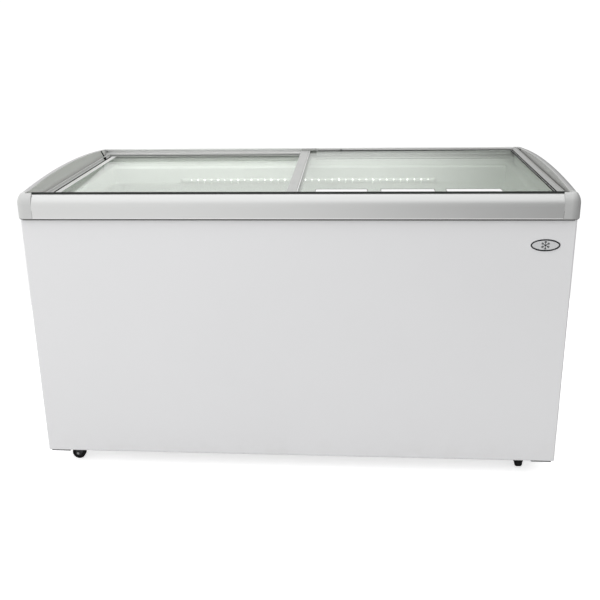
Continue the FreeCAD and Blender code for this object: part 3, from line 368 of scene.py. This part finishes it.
WHITE = (0.80, 0.80, 0.81)
M = {
    "white_sheet": finish_of("white_sheet", WHITE, 0.36, vary=0.008, patch=2.2, rough_vary=0.04, rough_scale=9.0,
                             grain=420.0, grain_strength=0.05, coat=0.25, coat_rough=0.18, distance=0.0006,
                             dirt=((0.62, 0.61, 0.59), 0.05, 0.13, 0.16)),
    "zinc_sheet": spangle("zinc_sheet", (0.62, 0.63, 0.64)),
    "white_liner": finish_of("white_liner", (0.83, 0.845, 0.83), 0.34, vary=0.012, patch=3.0, rough_scale=14.0,
                             grain=240.0, grain_strength=0.06, coat=0.15, coat_rough=0.25),
    "foam": foam_material(),
    "copper": finish_of("copper", (0.72, 0.37, 0.22), 0.34, metal=1.0, vary=0.14, patch=40.0, rough_vary=0.1,
                        grain=900.0, grain_strength=0.05),
    "rail_x": finish_of("rail_x", (0.74, 0.745, 0.74), 0.30, metal=0.82, vary=0.006, patch=4.0, rough_vary=0.015,
                        rough_scale=12.0, stretch=(0.5, 90.0, 90.0), grain=36.0, grain_strength=0.002,
                        coat=0.2, coat_rough=0.2, distance=0.0001),
    "rear_light": finish_of("rear_light", (0.90, 0.905, 0.895), 0.42, metal=0.12, vary=0.012, patch=4.0,
                            rough_vary=0.05, rough_scale=6.0, stretch=(1.0, 60.0, 60.0), grain=24.0,
                            grain_strength=0.008, distance=0.0001),
    "white_bead": finish_of("white_bead", (0.90, 0.905, 0.90), 0.3, vary=0.01, patch=20.0, grain=600.0,
                            grain_strength=0.03),
    # painted light and shade: both crowns are painted darker, the left rail's inner face lighter and the right rail's
    # inner face darker
    "side_left": side_rail_shaded_material("side_left", (0.58, 0.585, 0.575), (0.44, 0.44, 0.445), (0.78, 0.785, 0.76), 1),
    "side_right": side_rail_shaded_material("side_right", (0.58, 0.585, 0.575), (0.42, 0.42, 0.42), (0.42, 0.42, 0.41), -1),
    "cap_grey": finish_of("cap_grey", (0.60, 0.605, 0.60), 0.40, metal=0.35, vary=0.015, patch=14.0, rough_vary=0.05,
                          grain=800.0, grain_strength=0.06, distance=0.0005),
    "black_seal": finish_of("black_seal", (0.025, 0.028, 0.026), 0.55, vary=0.25, patch=30.0, grain=700.0,
                            grain_strength=0.12, spec=0.35),
    "matte_rubber": finish_of("matte_rubber", (0.012, 0.013, 0.012), 0.92, vary=0.2, patch=30.0, rough_vary=0.04,
                              grain=700.0, grain_strength=0.08, spec=0.05),
    # dark grey for the painted shadow line under the rim
    "seam_shadow": finish_of("seam_shadow", (0.20, 0.205, 0.20), 0.85, vary=0.05, patch=20.0, grain=800.0,
                           grain_strength=0.05, spec=0.1),
    "led_clear": finish_of("led_clear", (0.90, 0.91, 0.90), 0.18, vary=0.01, grain=500.0, grain_strength=0.02, coat=0.3),
    "badge_face": finish_of("badge_face", (0.74, 0.75, 0.76), 0.24, metal=0.2, vary=0.01, grain=600.0,
                            grain_strength=0.02, coat=0.5, coat_rough=0.08),
    "badge_ink": finish_of("badge_ink", (0.020, 0.022, 0.023), 0.6, vary=0.1, grain=800.0, grain_strength=0.03, spec=0.12),
    "black_steel": finish_of("black_steel", (0.022, 0.022, 0.024), 0.42, vary=0.2, patch=20.0, rough_vary=0.08,
                             grain=500.0, grain_strength=0.08, coat=0.2, coat_rough=0.3),
    "black_plastic": finish_of("black_plastic", (0.035, 0.035, 0.038), 0.5, vary=0.15, patch=16.0,
                               grain=1300.0, grain_strength=0.16),
    "fins": finish_of("fins", (0.60, 0.61, 0.62), 0.4, metal=1.0, vary=0.06, patch=12.0, stretch=(1.0, 20.0, 20.0),
                      grain=60.0, grain_strength=0.06),
    "motor_metal": finish_of("motor_metal", (0.52, 0.52, 0.53), 0.38, metal=1.0, vary=0.06, patch=20.0,
                             grain=700.0, grain_strength=0.06),
    "lid_glass": glass_material("lid_glass", (0.957, 0.975, 0.953), (0.965, 0.98, 0.965), 0.05),
    "lid_frame": finish_of("lid_frame", (0.44, 0.445, 0.435), 0.36, metal=0.3, vary=0.012, patch=8.0, rough_vary=0.05,
                           grain=900.0, grain_strength=0.05),
    "lid_runner": finish_of("lid_runner", (0.58, 0.585, 0.575), 0.36, metal=0.3, vary=0.012, patch=8.0, rough_vary=0.05,
                            grain=900.0, grain_strength=0.05),
    # a darker copy of the runner finish for the right end grip: painted shade
    "lid_grip_right_shaded": finish_of("lid_grip_right_shaded", (0.36, 0.362, 0.355), 0.36, metal=0.3, vary=0.012, patch=8.0,
                                rough_vary=0.05, grain=900.0, grain_strength=0.05),
    "drain_plastic": finish_of("drain_plastic", (0.72, 0.72, 0.71), 0.45, vary=0.03, patch=30.0, grain=900.0,
                               grain_strength=0.08),
    "wheel_rubber": finish_of("wheel_rubber", (0.010, 0.010, 0.0105), 0.62, vary=0.2, patch=40.0, rough_vary=0.1, spec=0.2,
                              grain=900.0, grain_strength=0.2, dirt=((0.13, 0.125, 0.12), 0.0, 0.012, 0.6)),
    "label_film": finish_of("label_film", (0.86, 0.865, 0.86), 0.5, vary=0.01, patch=20.0, grain=500.0,
                            grain_strength=0.04),
    "drain_grey": finish_of("drain_grey", (0.30, 0.305, 0.30), 0.45, vary=0.05, patch=20.0, grain=800.0,
                            grain_strength=0.05),
    "joint_dark": finish_of("joint_dark", (0.20, 0.20, 0.19), 0.6, vary=0.1, patch=20.0, grain=800.0,
                            grain_strength=0.05),
    # the front rail's foot bead: a real lip, finished paler and less metallic than the rail as a painted highlight
    "rail_bead_highlight": finish_of("rail_bead_highlight", (0.84, 0.845, 0.84), 0.3, metal=0.3, vary=0.01, patch=4.0, rough_scale=6.0,
                           stretch=(1.0, 60.0, 60.0), grain=24.0, grain_strength=0.008, distance=0.0001),
    "lid_strip": finish_of("lid_strip", (0.70, 0.705, 0.695), 0.4, metal=0.1, vary=0.012, patch=8.0, rough_vary=0.05,
                           grain=900.0, grain_strength=0.04),
    "glow": glow_material("glow", (1.0, 1.0, 0.98), 4.0),
}

SLOT_LOOK = {
    "white_sheet": "white_sheet", "zinc_sheet": "zinc_sheet", "white_liner": "white_liner", "foam": "foam",
    "copper": "copper", "silver_rail": "rail_x", "grey_plastic": "cap_grey", "black_seal": "black_seal",
    "led_clear": "led_clear", "badge_face": "badge_face", "black_steel": "black_steel",
    "black_plastic": "black_plastic", "condenser_fins": "fins", "motor_metal": "motor_metal",
    "lid_glass": "lid_glass", "lid_frame": "lid_frame", "drain_plastic": "drain_plastic",
    "wheel_rubber": "wheel_rubber",
}


def paint(obj, mat):
    if obj.data.materials:
        for i in range(len(obj.data.materials)):
            obj.data.materials[i] = mat
    else:
        obj.data.materials.append(mat)


def paint_foot_shade(mat):
    """The rim parts' bevelled foot, where they stand on the body, gets painted shade: faces turned downwards are
    darkened in the base colour.
    """
    t = mat.node_tree
    sh = [n for n in t.nodes if n.type == "BSDF_PRINCIPLED"][0]
    before = sh.inputs["Base Color"].links[0].from_socket
    geo = t.nodes.new("ShaderNodeNewGeometry")
    sep = t.nodes.new("ShaderNodeSeparateXYZ")
    t.links.new(geo.outputs["True Normal"], sep.inputs[0])
    # painted shade mask: faces turned downwards
    low = ranged(t, sep.outputs["Z"], 1.0, 0.0, -0.50, -0.30)
    k = t.nodes.new("ShaderNodeMix")
    k.data_type = "RGBA"
    t.links.new(low, k.inputs[0])
    t.links.new(before, k.inputs[6])
    k.inputs[7].default_value = (0.17, 0.17, 0.167, 1.0)
    t.links.new(k.outputs[2], sh.inputs["Base Color"])


# painted shade on the downward-facing foot of the rim parts
for mat_name in ("rail_x", "rear_light", "side_left", "side_right", "cap_grey"):
    paint_foot_shade(M[mat_name])

LOOK = {
    "outer_wrap": "white_sheet", "back_panel": "white_sheet", "base_pan": "zinc_sheet", "bulkhead_panel": "zinc_sheet",
    "fan_bracket": "zinc_sheet", "castor_plates": "zinc_sheet", "castor_bolts": "zinc_sheet",
    "inner_liner": "white_liner", "top_collar": "white_liner", "insulation_foam": "foam",
    "evaporator_coil": "copper", "discharge_pipe": "copper", "suction_pipe": "copper", "filter_drier": "copper",
    "front_rail": "rail_x", "rear_rail": "rear_light", "side_rail_left": "side_left", "side_rail_right": "side_right",
    "corner_cap_front_left": "cap_grey", "corner_cap_front_right": "cap_grey",
    "corner_cap_rear_left": "cap_grey", "corner_cap_rear_right": "cap_grey",
    "front_seal": "black_seal", "rear_seal": "cap_grey", "lid_right_wiper_seal": "black_seal",
    "compressor_grommets": "black_seal", "led_light_bar": "led_clear", "badge_plate": "badge_face",
    "compressor": "black_steel", "start_relay_box": "black_plastic", "thermostat_body": "black_plastic",
    "thermostat_knob": "black_plastic", "mains_inlet_gland": "black_plastic", "rear_cover": "black_plastic",
    "fan_blade": "black_plastic", "condenser": "fins", "fan_motor": "motor_metal", "cover_screws": "motor_metal",
    "lid_left_glass": "lid_glass", "lid_right_glass": "lid_glass", "drain_tube": "drain_plastic",
    "drain_plug": "drain_plastic",
}
for name, node in NODES.items():
    if name in LOOK:
        paint(node, M[LOOK[name]])
    elif name.startswith("lid_"):
        # the left end grip takes the lighter runner finish and the right end grip its darker copy: painted light and
        # shade
        paint(node, M["lid_runner" if "runner" in name or name == "lid_left_end_grip" else "lid_grip_right_shaded" if name == "lid_right_end_grip" else "lid_frame"])
    elif name.startswith("castor_fork"):
        paint(node, M["black_steel"])
    elif name.startswith("castor_wheel"):
        paint(node, M["wheel_rubber"])
    else:
        raise ValueError("no finish for " + name)


# ------------------------------------------------------------------ mesh helpers
def make(name, bm, mat, body, smooth=True):
    bmesh.ops.recalc_face_normals(bm, faces=bm.faces[:])
    me = bpy.data.meshes.new(name)
    bm.to_mesh(me)
    bm.free()
    o = bpy.data.objects.new(name, me)
    SCENE.collection.objects.link(o)
    me.materials.append(M[mat] if isinstance(mat, str) else mat)
    if smooth:
        for p in me.polygons:
            p.use_smooth = True
        me.set_sharp_from_angle(angle=math.radians(35))
    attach(o, body)
    return o


def block(bm, low, high, bevel=0.0, segments=2, turn=None):
    """A box from low to high with rounded edges; turn is a matrix applied afterwards."""
    low, high = Vector(low), Vector(high)
    c, d = (low + high) / 2, high - low
    r = bmesh.ops.create_cube(bm, size=1.0)
    vs = r["verts"]
    for v in vs:
        v.co = Vector((v.co.x * d.x, v.co.y * d.y, v.co.z * d.z)) + c
    if bevel > 0:
        es = list({e for v in vs for e in v.link_edges})
        out = bmesh.ops.bevel(bm, geom=es, offset=bevel, segments=segments, affect="EDGES", profile=0.5)
        vs = list({v for f in out["faces"] for v in f.verts} | {v for v in vs if v.is_valid})
    if turn is not None:
        for v in vs:
            v.co = turn @ v.co
    return vs


def lathe(bm, profile, place, axis="Z", steps=24):
    """Closed turned solid: profile is (radius, height) pairs from axis to axis."""
    rings = []
    for r, h in profile:
        ring = []
        if r < 1e-7:
            ring = [bm.verts.new((0, 0, h))]
        else:
            for i in range(steps):
                a = 2 * math.pi * i / steps
                ring.append(bm.verts.new((r * math.cos(a), r * math.sin(a), h)))
        rings.append(ring)
    for a, b in zip(rings, rings[1:]):
        if len(a) == 1 and len(b) == 1:
            continue
        for i in range(steps):
            j = (i + 1) % steps
            if len(a) == 1:
                bm.faces.new((a[0], b[i], b[j]))
            elif len(b) == 1:
                bm.faces.new((a[i], a[j], b[0]))
            else:
                bm.faces.new((a[i], a[j], b[j], b[i]))
    turn = {
        "Z": Matrix.Identity(3), "-Z": Matrix.Rotation(math.pi, 3, "X"),
        "Y": Matrix.Rotation(-math.pi / 2, 3, "X"), "-Y": Matrix.Rotation(math.pi / 2, 3, "X"),
        "X": Matrix.Rotation(math.pi / 2, 3, "Y"), "-X": Matrix.Rotation(-math.pi / 2, 3, "Y"),
    }[axis]
    for ring in rings:
        for v in ring:
            v.co = turn @ v.co + Vector(place)


def plate(bm, outline, h0, h1, to_world):
    """A flat solid from a closed outline of (u, v), between two heights, mapped by to_world."""
    lo = [bm.verts.new(to_world(u, v, h0)) for u, v in outline]
    hi = [bm.verts.new(to_world(u, v, h1)) for u, v in outline]
    n = len(outline)
    bm.faces.new(lo)
    bm.faces.new(hi)
    for i in range(n):
        j = (i + 1) % n
        bm.faces.new((lo[i], lo[j], hi[j], hi[i]))


# ------------------------------------------------------------------ light points on the rear inner wall
led_lo, led_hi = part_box("led_light_bar")
bm = bmesh.new()
count = 36
x0, x1 = led_lo.x + 0.034, led_hi.x - 0.022
for i in range(count):
    x = x0 + (x1 - x0) * i / (count - 1)
    k = 0.0015 + 0.0011 * ((i * 7) % 5) / 4
    lathe(bm, [(0.0, -0.0014), (k, -0.0014), (k, 0.0004), (k * 0.8, 0.0010), (k * 0.4, 0.0014), (0.0, 0.0015)],
          (x, led_lo.y + 0.0006, (led_lo.z + led_hi.z) / 2 + 0.0022), "-Y", 12)
make("led_points", bm, "glow", "cabinet")

# end clips of the light bar
bm = bmesh.new()
for x in (led_lo.x - 0.004, led_hi.x - 0.002):
    block(bm, (x, led_lo.y - 0.0008, led_lo.z - 0.001), (x + 0.006, led_hi.y, led_hi.z + 0.001), 0.0008)
make("led_end_clips", bm, "drain_plastic", "cabinet")

# ------------------------------------------------------------------ badge: plain rim and a snow crystal
b_lo, b_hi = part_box("badge_plate")
bc = (b_lo + b_hi) / 2
ba, bb = (b_hi.x - b_lo.x) / 2, (b_hi.z - b_lo.z) / 2
bm = bmesh.new()
n = 120
sect = [(-0.0004, -0.0002), (-0.0004, 0.0004), (-0.0009, 0.0007), (-0.0034, 0.0007), (-0.0039, 0.0004), (-0.0039, -0.0002)]
grid = []
for i in range(n):
    a = 2 * math.pi * i / n
    nx, nz = math.cos(a) / ba, math.sin(a) / bb
    ln = math.hypot(nx, nz)
    nx, nz = nx / ln, nz / ln
    grid.append([bm.verts.new((bc.x + ba * math.cos(a) + nx * d, b_lo.y - h, bc.z + bb * math.sin(a) + nz * d))
                 for d, h in sect])
for i in range(n):
    j = (i + 1) % n
    for k in range(len(sect)):
        l = (k + 1) % len(sect)
        bm.faces.new((grid[i][k], grid[j][k], grid[j][l], grid[i][l]))
make("badge_rim", bm, "badge_ink", "cabinet")

bm = bmesh.new()


def arm(bm, angle, root, tip, half):
    ca, sa = math.cos(angle), math.sin(angle)

    def world_of(u, v, h):
        return (bc.x + u * ca - v * sa, b_lo.y - h, bc.z + u * sa + v * ca)
    plate(bm, [(root, -half), (tip, -half), (tip, half), (root, half)], -0.0002, 0.0004, world_of)
    for at in (0.55, 0.78):
        for s in (-1, 1):
            px, ln = tip * at, tip * 0.30
            c2, s2 = math.cos(s * math.radians(58)), math.sin(s * math.radians(58))
            plate(bm, [(px + u * c2 - v * s2, u * s2 + v * c2) for u, v in
                       ((half * 0.4, -half * 0.8), (ln, -half * 0.8), (ln, half * 0.8), (half * 0.4, half * 0.8))],
                  -0.0002, 0.00042, world_of)


for i in range(6):
    arm(bm, math.pi / 6 + i * math.pi / 3, 0.0, 0.0115, 0.00065)
make("badge_crystal", bm, "badge_ink", "cabinet", smooth=False)

# ------------------------------------------------------------------ blank label strips near the upper lid's front edge
SLOPE = math.radians(4.443)
UPPER_Z = 0.8315
LOWER_Z = 0.8145


def on_lid(x, y, z, base=UPPER_Z):
    """Point given along the tilted pane: y runs up the pane and z stands off its upper face."""
    return Vector((x, y * math.cos(SLOPE) - z * math.sin(SLOPE), base + y * math.sin(SLOPE) + z * math.cos(SLOPE)))


def rounded(x0, x1, y0, y1, r, k=5):
    pts = []
    for cx, cy, a0 in ((x1 - r, y0 + r, -90), (x1 - r, y1 - r, 0), (x0 + r, y1 - r, 90), (x0 + r, y0 + r, 180)):
        for i in range(k + 1):
            a = math.radians(a0 + 90 * i / k)
            pts.append((cx + r * math.cos(a), cy + r * math.sin(a)))
    return pts


bm = bmesh.new()
for xa, xb in ((0.060, 0.200), (0.239, 0.383), (0.416, 0.563)):
    plate(bm, rounded(xa, xb, -0.2785, -0.2475, 0.003), 0.00012, 0.00035, lambda u, v, h: on_lid(u, v, h))
make("lid_label_strips", bm, "label_film", "lid_right", smooth=False)
bm = bmesh.new()
for xa, xb in ((0.060, 0.200), (0.239, 0.383), (0.416, 0.563)):
    plate(bm, rounded(xa - 0.0018, xb + 0.0018, -0.2815, -0.2410, 0.003), 0.00001, 0.0001, lambda u, v, h: on_lid(u, v, h))
make("lid_label_borders", bm, "joint_dark", "lid_right", smooth=False)

# ------------------------------------------------------------------ black buffer on the upper lid's rear runner
TILT = Matrix.Translation((0.0, 0.0, UPPER_Z)) @ Matrix.Rotation(SLOPE, 4, "X")
TILT_LOW = Matrix.Translation((0.0, 0.0, LOWER_Z)) @ Matrix.Rotation(SLOPE, 4, "X")
bm = bmesh.new()
block(bm, (0.1155, 0.3366, 0.0004), (0.1205, 0.3440, 0.0040), 0.0007, 2, TILT)
make("lid_right_runner_buffer", bm, "black_plastic", "lid_right")

bm = bmesh.new()
block(bm, (0.036, 0.3356, 0.0001), (0.700, 0.3372, 0.0016), 0.0003, 1, TILT)
make("lid_right_runner_line", bm, "matte_rubber", "lid_right")

# ------------------------------------------------------------------ glazing gaskets beside the grips
for side, s, turn in (("left", 1, TILT_LOW), ("right", -1, TILT)):
    g_lo, g_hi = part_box("lid_%s_end_grip" % side)
    x_edge = g_hi.x if s > 0 else g_lo.x
    runs = ((0.0001, 0.0050, 0.0011),) if s > 0 else ((0.0001, 0.0046, 0.0011), (0.0057, 0.0100, 0.0009))
    bm = bmesh.new()
    for a, c, h in runs:
        xa, xb = sorted((x_edge + s * a, x_edge + s * c))
        block(bm, (xa, -0.3370, 0.00005), (xb, 0.3370, h), 0.0004, 2, turn)
    make("lid_%s_gasket" % side, bm, "matte_rubber", "lid_" + side)
    bm = bmesh.new()
    xa, xb = sorted((x_edge + s * (runs[0][1] + 0.00005), x_edge + s * (runs[0][1] + (0.0165 if s > 0 else 0.00095))))
    block(bm, (xa, -0.3370, 0.00005), (xb, 0.3370, 0.0007), 0.0002, 1, turn)
    make("lid_%s_gasket_bead" % side, bm, "lid_strip" if s > 0 else "white_bead", "lid_" + side)

# black buffer at the rear of the lower lid's end grip
bm = bmesh.new()
block(bm, (-0.7125, 0.2740, 0.0002), (-0.7042, 0.2900, 0.0080), 0.0008, 2, TILT_LOW)
make("lid_left_end_buffer", bm, "matte_rubber", "lid_left")

# thin joint line along the inner face of the rear rail, under the upper lid
bm = bmesh.new()
block(bm, (0.0300, 0.3415, 0.8278), (0.7000, 0.3424, 0.8300), 0.0002, 1)
make("rear_rail_line", bm, "matte_rubber", "cabinet")

# dark joints where the side rails end at the rear
for side, s in (("left", -1), ("right", 1)):
    x_in = s * 0.722
    bm = bmesh.new()
    plate(bm, [(0.286, 0.8655), (0.2950, 0.8662), (0.332, 0.838), (0.3230, 0.836)], -0.0002, 0.0006,
          lambda u, v, h: (x_in - s * h, u, v))
    make("side_rail_joint_" + side, bm, "matte_rubber", "cabinet", smooth=False)

# pale bead along the centre stile of the upper lid
st_lo, st_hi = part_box("lid_right_centre_stile")
bm = bmesh.new()
block(bm, (st_hi.x + 0.0001, -0.3370, 0.00005), (st_hi.x + 0.0024, 0.3370, 0.0009), 0.0004, 2, TILT)
make("lid_right_stile_bead", bm, "white_bead", "lid_right")
bm = bmesh.new()
block(bm, (st_hi.x + 0.0025, -0.3370, 0.00005), (st_hi.x + 0.0034, 0.3370, 0.0005), 0.0002, 1, TILT)
make("lid_right_stile_gasket", bm, "drain_grey", "lid_right")

# ------------------------------------------------------------------ rolled foot of the front rail, its paler finish partly a painted highlight, and the joints beside the caps
f_lo, f_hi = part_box("front_rail")
cap_lo, cap_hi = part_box("corner_cap_front_left")
joint_x = -cap_hi.x
bm = bmesh.new()
block(bm, (-joint_x + 0.0004, f_lo.y - 0.0003, f_lo.z + 0.0029), (joint_x - 0.0004, f_lo.y + 0.0012, f_lo.z + 0.0051), 0.0007, 3)
make("front_rail_bead", bm, "rail_bead_highlight", "cabinet")
bm = bmesh.new()
for x in (-joint_x, joint_x):
    block(bm, (x - 0.0005, f_lo.y - 0.00015, f_lo.z + 0.0005), (x + 0.0004, f_lo.y + 0.002, f_lo.z + 0.024), 0.0002, 1)
make("front_cap_joints", bm, "joint_dark", "cabinet")

# ------------------------------------------------------------------ painted shadow: a dark strip along the line where the rim stands on the body
w_lo, w_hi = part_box("outer_wrap")
bm = bmesh.new()
block(bm, (w_lo.x + 0.007, w_lo.y - 0.0003, w_hi.z - 0.0028), (w_hi.x - 0.007, w_lo.y + 0.0004, w_hi.z - 0.0002), 0.0002, 1)
for x in (w_lo.x, w_hi.x):
    block(bm, (x - 0.0003, w_lo.y + 0.007, w_hi.z - 0.0028), (x + 0.0003, w_hi.y - 0.007, w_hi.z - 0.0002), 0.0002, 1)
make("rim_seam_shadow", bm, "seam_shadow", "cabinet")

# ------------------------------------------------------------------ louvre hoods over the side slots
bm = bmesh.new()
hood = [(-0.0004, 0.0052)]
for i in range(9):
    a = math.radians(90 - 90 * i / 8)
    hood.append((0.0031 * math.cos(a), 0.0004 + 0.0052 * math.sin(a)))
hood += [(0.0024, 0.0004), (0.0018, 0.0034), (-0.0004, 0.0046)]
for c in range(3):
    for r in range(12):
        y0, y1 = (-0.145 + 0.100 * c), (-0.065 + 0.100 * c)
        z0 = 0.096 + 0.016 * r + 0.0006
        rows = []
        for y, k in ((y0 - 0.002, 0.02), (y0 + 0.001, 0.75), (y0 + 0.004, 1.0), (y1 - 0.004, 1.0), (y1 - 0.001, 0.75),
                     (y1 + 0.002, 0.02)):
            rows.append([bm.verts.new((w_hi.x + (p[0] * k if p[0] > 0 else p[0]), y, z0 + 0.0052 - (0.0052 - p[1]) * max(k, 0.35)))
                         for p in hood])
        for a, b in zip(rows, rows[1:]):
            for i in range(len(hood)):
                j = (i + 1) % len(hood)
                bm.faces.new((a[i], a[j], b[j], b[i]))
        bm.faces.new(rows[0])
        bm.faces.new(rows[-1][::-1])
make("side_louvre_hoods", bm, "white_sheet", "cabinet")

# ------------------------------------------------------------------ rivets along the back panel, and a blank data plate
k_lo, k_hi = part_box("back_panel")
rivet = [(0.0, -0.0003), (0.0034, -0.0003), (0.0034, 0.0002), (0.0027, 0.0010), (0.0014, 0.0015), (0.0007, 0.0013), (0.0, 0.0012)]
bm = bmesh.new()
spots = []
for i in range(9):
    x = k_lo.x + 0.02 + (k_hi.x - k_lo.x - 0.04) * i / 8
    spots.append((x, k_hi.z - 0.012))
    if x < 0.40:
        spots.append((x, k_lo.z + 0.012))
for z in (0.2, 0.34, 0.48, 0.62):
    spots.append((k_lo.x + 0.02, z))
    if z > 0.33:
        spots.append((k_hi.x - 0.02, z))
for x, z in spots:
    lathe(bm, rivet, (x, k_hi.y, z), "Y", 14)
make("back_rivets", bm, "motor_metal", "cabinet")

bm = bmesh.new()
plate(bm, rounded(-0.330, -0.210, 0.560, 0.635, 0.004), -0.0002, 0.0004, lambda u, v, h: (u, k_hi.y + h, v))
for x in (-0.324, -0.216):
    for z in (0.566, 0.629):
        lathe(bm, [(0.0, 0.0), (0.0016, 0.0), (0.0014, 0.0007), (0.0, 0.0009)], (x, k_hi.y + 0.0004, z), "Y", 10)
make("back_blank_plate", bm, "motor_metal", "cabinet")

# ------------------------------------------------------------------ castor axle nuts and washers
for tag in ("fl", "fr", "rl", "rr"):
    wh_lo, wh_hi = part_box("castor_wheel_" + tag)
    fo_lo, fo_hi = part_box("castor_fork_" + tag)
    c = (wh_lo + wh_hi) / 2
    bm = bmesh.new()
    along_y = (wh_hi.y - wh_lo.y) < (wh_hi.x - wh_lo.x)
    lo_side = fo_lo.y if along_y else fo_lo.x
    hi_side = fo_hi.y if along_y else fo_hi.x
    for side, axis in ((hi_side, "Y" if along_y else "X"), (lo_side, "-Y" if along_y else "-X")):
        at = (c.x, side, c.z) if along_y else (side, c.y, c.z)
        lathe(bm, [(0.0, -0.0002), (0.0040, -0.0002), (0.0040, 0.0005), (0.0034, 0.0012), (0.0020, 0.0015), (0.0, 0.0016)],
              at, axis, 6)
    make("castor_axle_heads_" + tag, bm, "motor_metal", "castor_fork_" + tag, smooth=False)

# ------------------------------------------------------------------ black strips under the body, outward of the front castors
bm = bmesh.new()
for s in (-1, 1):
    xa, xb = sorted((s * 0.6770, s * 0.7340))
    block(bm, (xa, -0.3560, w_lo.z - 0.0042), (xb, -0.3440, w_lo.z - 0.0001), 0.0012, 3)
    for x in (s * 0.690, s * 0.721):
        lathe(bm, [(0.0, 0.0), (0.0030, 0.0), (0.0026, 0.0010), (0.0, 0.0013)], (x, -0.3500, w_lo.z - 0.0041), "-Z", 12)
make("front_foot_strips", bm, "black_plastic", "cabinet")

# ------------------------------------------------------------------ floor strainer round the drain plug
d_lo, d_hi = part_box("drain_plug")
dc = (d_lo + d_hi) / 2
bm = bmesh.new()
for i in range(10):
    a = 2 * math.pi * i / 10
    turn = Matrix.Translation((dc.x, dc.y, 0.0)) @ Matrix.Rotation(a, 4, "Z")
    block(bm, (0.0165, -0.0012, 0.1182), (0.0245, 0.0012, 0.1196), 0.0005, 2, turn)
make("drain_ribs", bm, "drain_plastic", "cabinet")

# ------------------------------------------------------------------ floor
bm = bmesh.new()
ring = []
for i in range(96):
    a = 2 * math.pi * i / 96
    ring.append(bm.verts.new((1.9 * math.cos(a), 1.9 * math.sin(a), 0.0)))
bm.faces.new(ring)
me = bpy.data.meshes.new("floor")
bm.to_mesh(me)
bm.free()
floor = bpy.data.objects.new("floor", me)
SCENE.collection.objects.link(floor)
# a pale floor that throws back less light than it shows
floor_mat = finish_of("floor", (0.90, 0.90, 0.90), 0.7, vary=0.004, patch=1.5, grain=200.0, grain_strength=0.01)
ft = floor_mat.node_tree
seen = [n for n in ft.nodes if n.type == "BSDF_PRINCIPLED"][0]
seen.inputs["Emission Color"].default_value = (1.0, 1.0, 1.0, 1.0)
seen.inputs["Emission Strength"].default_value = 0.64
dim = ft.nodes.new("ShaderNodeBsdfDiffuse")
dim.inputs["Color"].default_value = (0.60, 0.60, 0.60, 1.0)
pick = ft.nodes.new("ShaderNodeMixShader")
path = ft.nodes.new("ShaderNodeLightPath")
ft.links.new(path.outputs["Is Camera Ray"], pick.inputs[0])
ft.links.new(dim.outputs[0], pick.inputs[1])
ft.links.new(seen.outputs[0], pick.inputs[2])
ft.links.new(pick.outputs[0], [n for n in ft.nodes if n.type == "OUTPUT_MATERIAL"][0].inputs[0])
me.materials.append(floor_mat)
